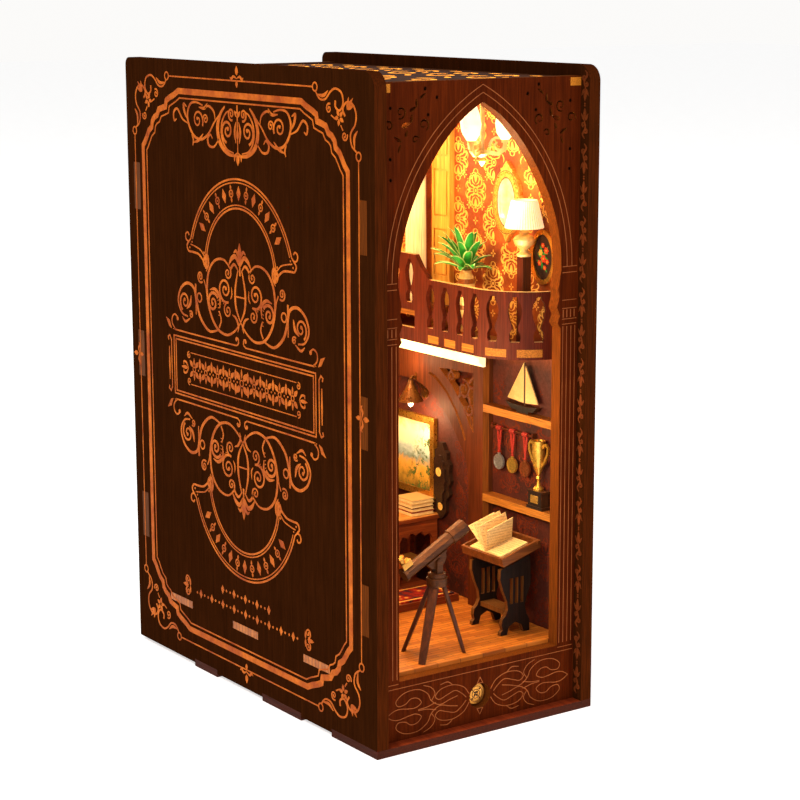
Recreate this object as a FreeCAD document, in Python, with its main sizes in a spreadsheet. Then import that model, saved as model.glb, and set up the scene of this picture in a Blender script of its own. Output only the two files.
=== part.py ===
import FreeCAD, Part
import math
import os

# Book nook: a wooden diorama of a two-storey study, made to stand between
# books on a shelf.  Millimetres.  +Z is up, the open arch faces -Y, the two
# book-like covers face -X and +X, the origin is the middle of the underside.

V = FreeCAD.Vector
doc = FreeCAD.newDocument("BookNook")
sheet = doc.addObject("Spreadsheet::Sheet", "Dims")

SIZES = [
    ("wide", 100), ("deep", 178), ("tall", 245),
    ("cover_thick", 5), ("cover_lift", 1.5), ("front_round", 6), ("rear_round", 3),
    ("base_thick", 3), ("frame_thick", 5), ("frame_setback", 5), ("frame_top", 241),
    ("board", 3), ("skin", 1),
    ("floor_low", 24), ("floor_high", 135), ("roof_low", 237.5),
    ("tenon_tall", 19), ("slot_gap", 0.1),
    ("jamb_half", 36.8), ("sill", 25.5), ("spring_height", 170), ("arch_apex", 233),
    ("facade", 39), ("rail_x", 24.5), ("rail_board", 2), ("rail_round", 23.5),
    ("rail_low", 134), ("rail_high", 160),
    ("shelf_thick", 3), ("shelf_top_high", 111.3), ("shelf_top_low", 75.2),
    ("button_round", 4), ("button_hole_round", 4.8), ("button_height", 12.9),
    ("button_thick", 1.5), ("stem_round", 1.5), ("bush_round", 1.55),
    ("medal_round", 3), ("medal_thick", 0.8), ("medal_drop", 13.6), ("medal_rail_height", 102.6),
    ("tube_round", 2.3), ("tube_long", 27), ("tube_tilt", 28),
    ("tele_x", -9), ("tele_y", -69), ("tele_z", 63),
    ("cup_round", 2.7), ("cell_round", 5.2), ("cell_long", 44.5),
    ("shade_low_round", 7.4), ("shade_high_round", 4.9), ("shade_tall", 10.5),
    ("door_pin_round", 0.8), ("door_bore_round", 0.86),
]
for i, (alias, value) in enumerate(SIZES):
    sheet.set("A%d" % (i + 1), alias)
    sheet.set("B%d" % (i + 1), str(value))
    sheet.setAlias("B%d" % (i + 1), alias)
doc.recompute()


def S(alias):
    return float(sheet.get(alias))


PARTS = []
_n = [0]


def fresh(stem):
    _n[0] += 1
    return "%s_%03d" % (stem, _n[0])


def keep(obj, label):
    obj.Label = label
    PARTS.append(obj)
    return obj


def box(x0, x1, y0, y1, z0, z1, label=None):
    """Block between two corners; each corner is a number or a sheet formula."""
    o = doc.addObject("Part::Box", fresh("block"))
    o.setExpression("Length", "(%s) - (%s)" % (x1, x0))
    o.setExpression("Width", "(%s) - (%s)" % (y1, y0))
    o.setExpression("Height", "(%s) - (%s)" % (z1, z0))
    for k, v in (("x", x0), ("y", y0), ("z", z0)):
        o.setExpression("Placement.Base.%s" % k, str(v))
    return keep(o, label) if label else o


AX = {"x": V(1, 0, 0), "y": V(0, 1, 0), "z": V(0, 0, 1)}


def rod(r, long, at, axis="z", label=None):
    """Round rod from a start point along +axis."""
    o = doc.addObject("Part::Cylinder", fresh("rod"))
    o.setExpression("Radius", str(r))
    o.setExpression("Height", str(long))
    d = AX[axis] if isinstance(axis, str) else axis
    o.Placement = FreeCAD.Placement(V(0, 0, 0), FreeCAD.Rotation(V(0, 0, 1), d))
    for k, v in zip("xyz", at):
        o.setExpression("Placement.Base.%s" % k, str(v))
    return keep(o, label) if label else o


def cone(r1, r2, long, at, axis="z"):
    o = doc.addObject("Part::Cone", fresh("cone"))
    o.setExpression("Radius1", str(r1))
    o.setExpression("Radius2", str(r2))
    o.setExpression("Height", str(long))
    d = AX[axis] if isinstance(axis, str) else axis
    o.Placement = FreeCAD.Placement(V(0, 0, 0), FreeCAD.Rotation(V(0, 0, 1), d))
    for k, v in zip("xyz", at):
        o.setExpression("Placement.Base.%s" % k, str(v))
    return o


def ball(r, at):
    o = doc.addObject("Part::Sphere", fresh("ball"))
    o.setExpression("Radius", str(r))
    for k, v in zip("xyz", at):
        o.setExpression("Placement.Base.%s" % k, str(v))
    return o


def fuse(objs, label=None):
    o = doc.addObject("Part::MultiFuse", fresh("joined"))
    o.Shapes = objs
    o.Refine = True
    return keep(o, label) if label else o


def cut(base, tools, label=None):
    t = tools[0] if len(tools) == 1 else fuse(tools)
    o = doc.addObject("Part::Cut", fresh("cutout"))
    o.Base = base
    o.Tool = t
    o.Refine = True
    return keep(o, label) if label else o


def free(shape, label=None, place=None):
    """A shaped board or turned piece that has no primitive."""
    o = doc.addObject("Part::Feature", fresh("shaped"))
    o.Shape = shape
    o.Placement = place or shape.Placement
    return keep(o, label) if label else o


# ---------------------------------------------------------------- outlines
def flat(pts, plane, at):
    """2-D outline points to 3-D: plane 'xz' at y, 'yz' at x, 'xy' at z."""
    if plane == "xz":
        return [V(a, at, b) for a, b in pts]
    if plane == "yz":
        return [V(at, a, b) for a, b in pts]
    return [V(a, b, at) for a, b in pts]


NORMAL = {"xz": V(0, 1, 0), "yz": V(1, 0, 0), "xy": V(0, 0, 1)}


def slab(pts, plane, at, thick, smooth=False):
    """Board of the outline pts, from `at` to `at + thick` along the normal."""
    p = flat(pts, plane, at)
    if smooth:
        c = Part.BSplineCurve()
        c.interpolate(Points=p, PeriodicFlag=True)
        w = Part.Wire([c.toShape()])
    else:
        w = Part.makePolygon(p + [p[0]])
    return Part.Face(w).extrude(NORMAL[plane] * thick)


def open_curve(pts, plane, at):
    c = Part.BSplineCurve()
    c.interpolate(Points=flat(pts, plane, at))
    return c.toShape()


def spiral(cx, cz, r, turns, wide, start=0.0, hand=1, grow=0.25, n=15):
    """Closed outline of a thin scroll slot that winds in to its eye."""
    outer, inner = [], []
    for i in range(n + 1):
        f = i / float(n)
        a = start + hand * f * turns * 2 * math.pi
        rr = r * (1 - (1 - grow) * f)
        hw = wide / 2.0 * (0.55 + 0.45 * math.sin(math.pi * min(1, f * 1.15 + .1)))
        outer.append((cx + (rr + hw) * math.cos(a), cz + (rr + hw) * math.sin(a)))
        inner.append((cx + (rr - hw) * math.cos(a), cz + (rr - hw) * math.sin(a)))
    return outer + inner[::-1]


def leaf(cx, cz, long, wide, ang):
    pts = []
    for i in range(8):
        t = i / 8.0 * 2 * math.pi
        u = math.cos(t) * long / 2.0
        v = math.sin(t) * wide / 2.0 * (1 - 0.35 * math.cos(t))
        pts.append((cx + u * math.cos(ang) - v * math.sin(ang), cz + u * math.sin(ang) + v * math.cos(ang)))
    return pts


def diamond(cx, cz, a, b):
    return [(cx - a, cz), (cx, cz - b), (cx + a, cz), (cx, cz + b)]


def turned(profile, x, y, z=0.0):
    """Solid of revolution about a vertical axis from (radius, height) pairs."""
    p = [V(x + r, y, z + h) for r, h in profile]
    w = Part.makePolygon(p + [p[0]])
    return Part.Face(w).revolve(V(x, y, 0), V(0, 0, 1), 360)


def all_of(shapes):
    s = shapes[0]
    return s.multiFuse(shapes[1:]).removeSplitter() if len(shapes) > 1 else s


W2, D2 = "Dims.wide / 2", "Dims.deep / 2"
CT, BT = "Dims.cover_thick", "Dims.base_thick"
FY0 = "-Dims.deep / 2 + Dims.frame_setback"
FY1 = FY0 + " + Dims.frame_thick"
RY1 = "Dims.deep / 2 - Dims.frame_setback"
RY0 = RY1 + " - Dims.frame_thick"
w2, d2, ct, bt = S("wide") / 2, S("deep") / 2, S("cover_thick"), S("base_thick")
fy0 = -d2 + S("frame_setback")
fy1 = fy0 + S("frame_thick")
ry1 = -fy0
ry0 = ry1 - S("frame_thick")
inner = w2 - ct
tenon_rows = (44.5, 113.0, 182.0)
floor_tabs = ((-58.2, 18), (-7.4, 18.8), (43.6, 18))
base_tabs = ((-89, 30), (-38, 28), (24.6, 18))


# ---------------------------------------------------------------- the box
def cover(side, label):
    """Side cover: a board with rounded top corners, mortised for the tenons."""
    x0 = "-%s" % W2 if side < 0 else "%s - %s" % (W2, CT)
    x1 = "-%s + %s" % (W2, CT) if side < 0 else W2
    body = box(x0, x1, "-(%s)" % D2, D2, "Dims.cover_lift", "Dims.tall")
    tools = []
    for y_in, y_out, r in (("-(%s)" % D2, -1, "Dims.front_round"), (D2, 1, "Dims.rear_round")):
        if y_out < 0:
            blk = box(x0 + " - 1", x1 + " + 1", "%s - 1" % y_in, "%s + %s" % (y_in, r), "Dims.tall - %s" % r, "Dims.tall + 1")
            cyl = rod(r, "%s + 4" % CT, (x0 + " - 2", "%s + %s" % (y_in, r), "Dims.tall - %s" % r), "x")
        else:
            blk = box(x0 + " - 1", x1 + " + 1", "%s - %s" % (y_in, r), "%s + 1" % y_in, "Dims.tall - %s" % r, "Dims.tall + 1")
            cyl = rod(r, "%s + 4" % CT, (x0 + " - 2", "%s - %s" % (y_in, r), "Dims.tall - %s" % r), "x")
        tools.append(cut(blk, [cyl]))
    g = "Dims.slot_gap"
    for z in tenon_rows:
        tools.append(box(x0 + " - 1", x1 + " + 1", FY0 + " - " + g, FY1 + " + " + g, "%s - %s" % (z, g), "%s + Dims.tenon_tall + %s" % (z, g)))
        tools.append(box(x0 + " - 1", x1 + " + 1", RY0 + " - " + g, RY1 + " + " + g, "%s - %s" % (z + 2, g), "%s + Dims.tenon_tall + %s" % (z + 2, g)))
    for y, l in floor_tabs:
        tools.append(box(x0 + " - 1", x1 + " + 1", "%s - %s" % (y, g), "%s + %s" % (y + l, g), "Dims.floor_low - " + g, "Dims.floor_low + Dims.board + " + g))
    for y, l in base_tabs:
        tools.append(box(x0 + " - 1", x1 + " + 1", "%s - %s" % (y, g), "%s + %s" % (y + l, g), "0", "%s + 0.02" % BT))
    return cut(body, tools, label)


cover(-1, "left_cover")
cover(1, "right_cover")

# base board: full width only at the tabs that carry the covers
IN = "%s - %s" % (W2, CT)
base_bits = [box("-(%s)" % IN, IN, "-(%s)" % D2, D2, "0", BT)]
for y, l in base_tabs:
    base_bits.append(box("-" + W2, W2, str(y), str(y + l), "0", BT))
fuse(base_bits, "base_board")


def frame_tenons(shift, y0, y1):
    out = []
    for z in tenon_rows:
        for a, b in (("-" + W2, "-(%s) + 1" % IN), ("%s - 1" % IN, W2)):
            out.append(box(a, b, y0, y1, str(z + shift), "%s + Dims.tenon_tall" % (z + shift)))
    return out


# front frame: pointed arch, stepped imposts, pierced corner scrollwork
half = S("jamb_half")
zs, za = S("spring_height"), S("arch_apex")
right_arch = [(half, zs), (half - 1.1, 182.5), (half - 6.6, 199.0), (half - 13.4, 211.0), (half - 26.2, 226.0), (0, za)]
impost = [(half, 148.3), (half - 1.5, 150.3), (half - 0.4, 153.2), (half - 1.8, 156.2), (half - 0.8, 160.4), (half - 1.4, 163.0)]


def arch_tool(y, thick, grow=0.0):
    r = [(a + (grow if a > 0 else 0), b) for a, b in right_arch]
    imp = [(a + grow, b) for a, b in impost]
    zb = S("sill")
    edges = [open_curve(r, "xz", y)]
    lft = [(-a, b) for a, b in r][::-1]
    edges.append(open_curve(lft, "xz", y))
    down = [(-a, b) for a, b in imp][::-1]
    path = [lft[-1]] + down + [(-(half + grow), zb), (half + grow, zb)] + imp + [r[0]]
    p = flat(path, "xz", y)
    for a, b in zip(p[:-1], p[1:]):
        edges.append(Part.makeLine(a, b))
    return Part.Face(Part.Wire(Part.__sortEdges__(edges))).extrude(V(0, thick, 0))


def fret(side):
    c = []
    s = side
    for x, z in ((25.3, 238.2), (20.1, 235.1), (40.0, 232.2), (23.9, 229.4), (40.0, 214.6), (40.0, 207.5)):
        c.append(slab(diamond(s * x, z, .62, .75), "xz", fy0 - 1, S("frame_thick") + 2))
    for x, z, l, w, a in ((26.2, 236.0, 3.4, 1.0, 35), (28.9, 233.8, 3.0, 1.2, 95), (30.3, 231.6, 3.6, 1.3, 25),
                          (31.0, 228.4, 3.2, 1.3, 80), (33.4, 226.2, 4.0, 1.8, 20), (33.2, 223.3, 2.6, 1.2, 75),
                          (36.9, 221.4, 3.8, 1.3, 150), (36.2, 218.2, 3.2, 0.9, 70)):
        ang = math.radians(a) if s < 0 else math.pi - math.radians(a)
        c.append(slab(leaf(s * x, z, l, w, ang), "xz", fy0 - 1, S("frame_thick") + 2))
    for x, z, r, t, st, h in ((35.6, 230.6, 2.3, 1.15, 250, 1), (40.6, 226.0, 2.1, 1.1, 200, -1),
                              (25.8, 226.0, 2.3, 1.05, 300, 1), (29.2, 220.9, 1.5, .95, 20, 1)):
        a0 = math.radians(st)
        if s > 0:
            o = spiral(x, z, r, t, .75, math.pi - a0, -h)
        else:
            o = spiral(-x, z, r, t, .75, a0, h)
        c.append(slab(o, "xz", fy0 - 1, S("frame_thick") + 2))
    return c


arch = free(arch_tool(fy0 - 2, S("frame_thick") + 4))
fr = fret(-1) + fret(1)
scrolls = [free(fr[0].multiFuse(fr[1:]))]
bore = rod("Dims.button_hole_round", "Dims.frame_thick + 2", ("0", FY0 + " - 1", "Dims.button_height"), "y")
TAB = "5"
corners = [box("-(%s) - 1" % IN, "-(%s) + %s" % (IN, TAB), FY0 + " - 1", FY1 + " + 1", "Dims.roof_low", "Dims.roof_low + Dims.board"),
           box("%s - %s" % (IN, TAB), "%s + 1" % IN, FY0 + " - 1", FY1 + " + 1", "Dims.roof_low", "Dims.roof_low + Dims.board")]
frame_board = fuse([box("-(%s)" % IN, IN, FY0, FY1, BT, "Dims.frame_top")] + frame_tenons(0, FY0, FY1))
cut(frame_board, [arch, bore] + corners + scrolls, "front_frame")

# back board with the battery hatch at its foot and two hinge bores
rear = fuse([box("-(%s)" % IN, IN, RY0, RY1, BT, "Dims.frame_top")] + frame_tenons(2, RY0, RY1))
hatch = box("-31", "31", RY0 + " - 1", RY1 + " + 1", "5", "22")
bores = [rod("Dims.door_bore_round", "66", ("-33", RY0 + " + 2.5", "6.6"), "x")]
cut(rear, [hatch] + bores, "back_board")

# pierced roof board between the front and back boards
roof = fuse([box("-(%s)" % IN, IN, FY1, RY0, "Dims.roof_low", "Dims.roof_low + Dims.board"),
             box("-(%s)" % IN, "-(%s) + %s" % (IN, TAB), FY0, FY1 + " + 1", "Dims.roof_low", "Dims.roof_low + Dims.board"),
             box("%s - %s" % (IN, TAB), IN, FY0, FY1 + " + 1", "Dims.roof_low", "Dims.roof_low + Dims.board")])
pierce = []
zr = S("roof_low")
for k in range(6):
    yc = -62 + k * 25.0
    for s in (-1, 1):
        for (x, dy, r, t, st) in ((14, -4, 6.2, 1.1, 90), (29, 3, 5.2, 1.1, 270)):
            o = spiral(s * x, yc + dy, r, t, 2.0, math.radians(st), s, .3)
            pierce.append(slab(o, "xy", zr - 1, 5))
        for (x, dy, l, w, a) in ((5, 6, 8, 2.6, 60), (21, 8.5, 8, 2.4, -25), (37, -6, 7, 2.2, 100), (21, -8, 5, 2, 30)):
            pierce.append(slab(leaf(s * x, yc + dy, l, w, math.radians(a) if s > 0 else math.pi - math.radians(a)), "xy", zr - 1, 5))
cut(roof, [free(pierce[0].multiFuse(pierce[1:]))], "roof_board")

# lower floor with through tenons in the covers
low = [box("-(%s)" % IN, IN, FY1, RY0, "Dims.floor_low", "Dims.floor_low + Dims.board")]
for y, l in floor_tabs:
    low.append(box("-" + W2, W2, str(y), str(y + l), "Dims.floor_low", "Dims.floor_low + Dims.board"))
fuse(low, "lower_floor")
FT = "Dims.floor_low + Dims.board"
ft = S("floor_low") + S("board")

# papered linings inside the covers
box("-(%s)" % IN, "-(%s) + Dims.skin" % IN, FY1, RY0, FT, "Dims.roof_low", "left_wall_lining")
box("%s - Dims.skin" % IN, IN, FY1, RY0, FT, "Dims.roof_low", "right_wall_lining")
wall = inner - S("skin")

# ---------------------------------------------------------------- lower room, right side
# arcade board with a round-headed arch, a curved slot and a pierced spandrel
fx = S("facade")
bd = S("board")
arc_r = [(62.6, ft), (62.6, 78.7), (61.1, 85.8), (54.7, 95.4), (44.0, 106.2), (33.6, 111.9), (19.0, 114.3)]
arc_l = [(38.0 - a, b) for a, b in arc_r][::-1]
op = [open_curve(arc_l[:-1], "yz", fx - 1), open_curve(arc_r[1:], "yz", fx - 1)]
pp = flat([arc_l[-2], (arc_l[-1][0], ft - 1), (arc_r[0][0], ft - 1), arc_r[1]], "yz", fx - 1)
op += [Part.makeLine(a, b) for a, b in zip(pp[:-1], pp[1:])]
arcade_open = free(Part.Face(Part.Wire(Part.__sortEdges__(op))).extrude(V(bd + 2, 0, 0)))
slot_in = [(2.3, 118.0), (-2.0, 116.6), (-9.3, 112.0), (-15.5, 105.5), (-19.7, 98.9), (-21.9, 94.2)]
slot_out = [(1.4, 119.0), (-3.2, 117.6), (-10.2, 112.9), (-16.5, 106.3), (-20.8, 99.5), (-23.0, 95.0)]
spand = [(-4.6, 121.6), (-15.0, 122.2), (-27.6, 122.6), (-27.7, 110.0), (-27.8, 98.4), (-25.0, 101.4), (-20.9, 108.2), (-13.0, 115.9)]
notch = [(-22.4, 93.2), (-22.4, 94.7), (-26.6, 94.7), (-26.6, 86.4), (-28.6, 86.4), (-28.6, 96.0), (-23.4, 96.0)]
tools = [arcade_open] + [free(slab(q, "yz", fx - 1, bd + 2)) for q in (slot_in + slot_out[::-1], notch)]
# the spandrel opening keeps its scroll: outline minus scroll bands
sp = slab(spand, "yz", fx - 1, bd + 2)
bands = [slab(spiral(-21.2, 115.2, 4.1, 1.35, 1.1, math.radians(80), 1, .3), "yz", fx - 2, bd + 4),
         slab(spiral(-25.0, 107.6, 2.9, 1.2, 1.0, math.radians(20), -1, .3), "yz", fx - 2, bd + 4),
         slab(spiral(-13.0, 119.2, 2.4, 1.1, .9, math.radians(300), 1, .3), "yz", fx - 2, bd + 4),
         slab(leaf(-17.0, 117.4, 6.0, 1.3, math.radians(-30)), "yz", fx - 2, bd + 4),
         slab(leaf(-24.6, 112.0, 5.5, 1.3, math.radians(70)), "yz", fx - 2, bd + 4),
         slab(leaf(-26.3, 103.2, 4.6, 1.1, math.radians(75)), "yz", fx - 2, bd + 4),
         slab(leaf(-26.2, 119.6, 7.0, 1.2, math.radians(-48)), "yz", fx - 2, bd + 4),
         slab(leaf(-26.6, 116.4, 4.6, 1.3, math.radians(0)), "yz", fx - 2, bd + 4),
         slab(leaf(-18.0, 111.6, 4.8, 1.3, math.radians(-45)), "yz", fx - 2, bd + 4),
         slab(leaf(-12.6, 121.8, 2.8, 1.2, math.radians(80)), "yz", fx - 2, bd + 4),
         slab(leaf(-15.6, 115.8, 5.4, 1.1, math.radians(60)), "yz", fx - 2, bd + 4)]
tools.append(free(sp.cut(bands[0].multiFuse(bands[1:]))))
arcade_blank = box("Dims.facade", "Dims.facade + Dims.board", "-34", RY0, FT, "Dims.floor_high")
arcade_cut = cut(arcade_blank, tools)
doc.recompute()
# slot that lets the wall lamp's arm through
arm_slot = Part.makeBox(3.4, 1.3, 9.4, V(38.8, 10.85, 107.8))
free(max(arcade_cut.Shape.cut(arm_slot).Solids, key=lambda q: q.Volume), "arcade_board")
box("Dims.facade + Dims.board", "%s - Dims.skin" % IN, "-34", "-32", FT, "Dims.floor_high", "bookcase_side")
for alias, lab in (("shelf_top_high", "upper_shelf"), ("shelf_top_low", "lower_shelf")):
    box("Dims.facade", "%s - Dims.skin" % IN, FY1, "-34", "Dims.%s - Dims.shelf_thick" % alias, "Dims.%s" % alias, lab)

# white crown moulding along the head of the arcade, in steps
mould = [(39, 126.4), (37.8, 126.4), (37.2, 127.6), (36.0, 128.2), (35.6, 130.0), (34.0, 130.9), (33.4, 132.9), (32.4, 133.4), (32.4, 135.0), (39, 135.0)]
free(Part.Face(Part.makePolygon([V(a, -35.5, b) for a, b in mould + mould[:1]])).extrude(V(0, 35.5 + ry0, 0)), "cornice")

# ---------------------------------------------------------------- gallery
rx, rr_, rb = S("rail_x"), S("rail_round"), S("rail_board")
zl, zh = S("rail_low"), S("rail_high")
cx, cy = rx + rr_, -47.5


def arc_pt(r, deg):
    return (cx + r * math.cos(math.radians(deg)), cy + r * math.sin(math.radians(deg)))


def end_deg(r, x):
    return 360 - math.degrees(math.acos((x - cx) / r))


def rail_plan(r_out, r_in, y_back, x_end):
    """Closed plan outline of a band: straight run then a quarter bend."""
    eo, ei = end_deg(r_out, x_end), end_deg(r_in, x_end)
    n = 18
    o = [arc_pt(r_out, 180 + (eo - 180) * i / n) for i in range(n + 1)]
    i_ = [arc_pt(r_in, 180 + (ei - 180) * i / n) for i in range(n + 1)]
    return o, i_


def band(r_out, r_in, y_back, x_end, z0, z1):
    eo, ei = end_deg(r_out, x_end), end_deg(r_in, x_end)
    po = [V(*arc_pt(r_out, d), z0) for d in (180, (180 + eo) / 2, eo)]
    pi = [V(*arc_pt(r_in, d), z0) for d in (180, (180 + ei) / 2, ei)]
    a = V(cx - r_out, y_back, z0)
    b = V(cx - r_in, y_back, z0)
    e = [Part.Arc(*po).toShape(), Part.makeLine(po[-1], pi[-1]), Part.Arc(*pi[::-1]).toShape(),
         Part.makeLine(pi[0], b), Part.makeLine(b, a), Part.makeLine(a, po[0])]
    return Part.Face(Part.Wire(e)).extrude(V(0, 0, z1 - z0))


vase = [(1.7, 0), (2.2, 1.2), (2.1, 3.2), (1.1, 4.9), (1.25, 6.2), (2.3, 9.0), (2.75, 12.0), (2.2, 14.6), (1.2, 16.0), (1.0, 17.3)]
vase_out = vase + [(-a, b) for a, b in vase[::-1]]


def vase_tool(x, y, face_deg, z):
    """Baluster-shaped hole, cut along the outward direction of the rail."""
    f = slab(vase_out, "xz", -5, 10)
    f.rotate(V(0, 0, 0), V(0, 0, 1), face_deg)
    f.translate(V(x, y, z))
    return f


y_turn = -12.0
rail = band(rr_, rr_ - rb, y_turn, wall, zl, zh)
cuts = [vase_tool(rx + 1, y, 90, 140.8) for y in (-18.5, -28.2, -37.9, -47.3)]
for deg in (201.5, 224.0, 246.5):
    x, y = arc_pt(rr_ - 1, deg)
    cuts.append(vase_tool(x, y, deg - 90 + 180, 140.8))
# gallery floor: its front edge follows the rail and its tabs pass through it
fl_o = [arc_pt(rr_ - rb, 180 + (end_deg(rr_ - rb, wall) - 180) * i / 24.0) for i in range(25)]
fl = [V(cx - rr_ + rb, ry0, 135)] + [V(a, b, 135) for a, b in fl_o] + [V(wall, ry0, 135)]
eo = end_deg(rr_ - rb, wall)
pts3 = [V(*arc_pt(rr_ - rb, d), S("floor_high")) for d in (180, (180 + eo) / 2, eo)]
c1, c2 = V(wall, ry0, S("floor_high")), V(cx - rr_ + rb, ry0, S("floor_high"))
floor_face = Part.Face(Part.Wire([Part.Arc(*pts3).toShape(), Part.makeLine(pts3[-1], c1), Part.makeLine(c1, c2), Part.makeLine(c2, pts3[0])]))
g_floor = floor_face.extrude(V(0, 0, bd))
tab_cut = []
for a, b in ((-20.5, 7), (-31.5, 7), (-43.0, 7.5)):
    tab_cut.append(Part.makeBox(rb, b, bd, V(rx, a - b / 2 + 0, S("floor_high"))))
for d0, d1 in ((194, 216), (226, 250)):
    o = [V(*arc_pt(rr_, d), S("floor_high")) for d in (d0, (d0 + d1) / 2.0, d1)]
    i_ = [V(*arc_pt(rr_ - rb, d), S("floor_high")) for d in (d0, (d0 + d1) / 2.0, d1)]
    tab_cut.append(Part.Face(Part.Wire([Part.Arc(*o).toShape(), Part.makeLine(o[-1], i_[-1]), Part.Arc(*i_[::-1]).toShape(), Part.makeLine(i_[0], o[0])])).extrude(V(0, 0, bd)))
rail = rail.cut(cuts[0].multiFuse(cuts[1:] + tab_cut)).cut(g_floor)
free(rail, "gallery_rail")
free(all_of([g_floor] + tab_cut), "gallery_floor")

# raised landing at the back of the gallery, and its stepped rail
LZ = 144.0
landing = [(y_turn + 3, 138), (y_turn + 3, 147), (ry0, 147), (ry0, 144), (y_turn + 6, 144), (y_turn + 6, 138)]
free(Part.Face(Part.makePolygon([V(rx + rb, a, b) for a, b in landing + landing[:1]])).extrude(V(wall - rx - rb, 0, 0)), "landing")
st = [(y_turn, 134), (y_turn, 164.6), (-8.4, 169.0), (34, 169.0), (34, 134)]
stair = slab(st, "yz", rx, rb)
sc = [vase_tool(rx + 1, y, 90, 149.6) for y in (-4.2, 5.2, 14.6, 24.0)]
st_cut = slab([(-8, 139.5), (-8, 146.6), (32, 146.6), (32, 139.5)], "yz", rx - 1, 4)
stair = stair.cut(sc[0].multiFuse(sc[1:] + [st_cut]))
# the rail rises at an angle where the two boards meet
rise = slab([(-17.6, 160), (y_turn, 160), (y_turn, 164.6)], "yz", rx, rb)
free(all_of([stair, rise]), "landing_rail")

# doorway: flat pilaster and a round column, on the gallery wall
pil = slab([(-8.0, 138), (4.0, 138), (4.0, 233), (-8.0, 233)], "yz", 41.6, wall - 41.6)
for z in (168, 192, 216):
    pil = pil.cut(slab([(-6.6, z - 9.5), (2.6, z - 9.5), (2.6, z + 9.5), (-6.6, z + 9.5)], "yz", 41.0, 1.2).cut(slab([(-5.8, z - 8.7), (1.8, z - 8.7), (1.8, z + 8.7), (-5.8, z + 8.7)], "yz", 40.9, 1.4)))
pil = pil.cut(Part.makeBox(5, 14, 9.1, V(40, y_turn + 3, 138)))
free(pil, "pilaster")
col = turned([(0, 147), (5.4, 147), (5.4, 149.5), (4.6, 151), (4.3, 152), (4.1, 190), (4.0, 228), (4.6, 230), (5.4, 232.5), (5.4, 235), (0, 235)], 38.4, 10.5)
free(col, "column")

# oval mirror and oval flower picture on the gallery wall
def oval(y, z, ry, rz, x0, x1):
    e = Part.Ellipse(V(x0, y, z), max(ry, rz), min(ry, rz))
    pts = [V(x0, y + ry * math.cos(t), z + rz * math.sin(t)) for t in [i * math.pi / 18 for i in range(36)]]
    c = Part.BSplineCurve()
    c.interpolate(Points=pts, PeriodicFlag=True)
    return Part.Face(Part.Wire([c.toShape()])).extrude(V(x1 - x0, 0, 0))


def crest(y, z, s):
    return slab([(y - 3.2 * s, z), (y - 3.6 * s, z + 1.2 * s), (y - 2.2 * s, z + 1.6 * s), (y - 1.4 * s, z + 2.8 * s), (y, z + 4.2 * s),
                 (y + 1.4 * s, z + 2.8 * s), (y + 2.2 * s, z + 1.6 * s), (y + 3.6 * s, z + 1.2 * s), (y + 3.2 * s, z)], "yz", 42.2, wall - 42.2)


my, mz = -43.6, 191.5
mf = oval(my, mz, 8.6, 12.6, 42.2, wall).cut(oval(my, mz, 5.2, 9.2, 42.0, wall - .6))
mf = all_of([mf, crest(my, mz + 11.6, 1.0), slab([(my - 2.4, mz - 11.8), (my + 2.4, mz - 11.8), (my, mz - 15.4)], "yz", 42.2, wall - 42.2)])
free(mf, "mirror")
py, pz = -66.0, 172.6
pf = oval(py, pz, 7.4, 10.4, 42.2, wall).cut(oval(py, pz, 5.6, 8.6, 42.0, wall - .6))
free(pf, "flower_picture_frame")
free(oval(py, pz, 5.55, 8.55, 42.9, wall - .62), "flower_picture")

# vase of leaves on the gallery
vx, vy = 36.0, -26.6
free(turned([(0, 138), (3.0, 138), (3.1, 139.2), (2.1, 140.6), (1.7, 143), (2.4, 148), (3.3, 154), (3.5, 158), (2.9, 161.4), (2.1, 163.2), (2.5, 164.6), (1.9, 164.6), (1.6, 163.2), (2.3, 160.8), (2.6, 158), (0, 150)], vx, vy), "leaf_vase")
vase_solid = PARTS[-1].Shape


def blade(az, el, long, wide, thick=.45):
    """Pointed leaf blade bowed outward and downward from the vase mouth."""
    mid = []
    for i in range(5):
        f = i / 4.0
        a = math.radians(el - 55 * f * f)
        mid.append((long * f * math.cos(math.radians(el) - f * .5), long * f * math.sin(math.radians(el) - f * .75)))
    secs = []
    for i, (u, v) in enumerate(mid):
        f = i / 4.0
        w = wide * (0.35 + 1.3 * f - 1.55 * f * f) + .12
        secs.append(Part.makePolygon([V(u, -w, v), V(u, 0, v - thick), V(u, w, v), V(u, 0, v + thick * .4), V(u, -w, v)]))
    s = Part.makeLoft(secs, True, True)
    s.rotate(V(0, 0, 0), V(0, 0, 1), az)
    s.translate(V(vx, vy, 162.5))
    return s


blades = [Part.makeCylinder(1.3, 8.5, V(vx, vy, 157.5))]
k = 0
for ring_el, count, ln in ((80, 2, 19), (55, 5, 16), (20, 6, 12)):
    for j in range(count):
        az = 360.0 * j / count + ring_el * 1.7
        ex = math.cos(math.radians(az))
        lim = 7.4 if ex > 0 else 10.5
        reach = ln * math.cos(math.radians(ring_el) - .4) * abs(ex)
        l = ln if reach < lim else ln * lim / reach
        blades.append(blade(az, ring_el, l, 1.35))
spray = all_of(blades).cut(vase_solid).cut(rail).cut(Part.makeBox(4, 60, 60, V(wall - .1, vy - 30, 140)))
free(max(spray.Solids, key=lambda q: q.Volume), "leaf_spray")

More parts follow.
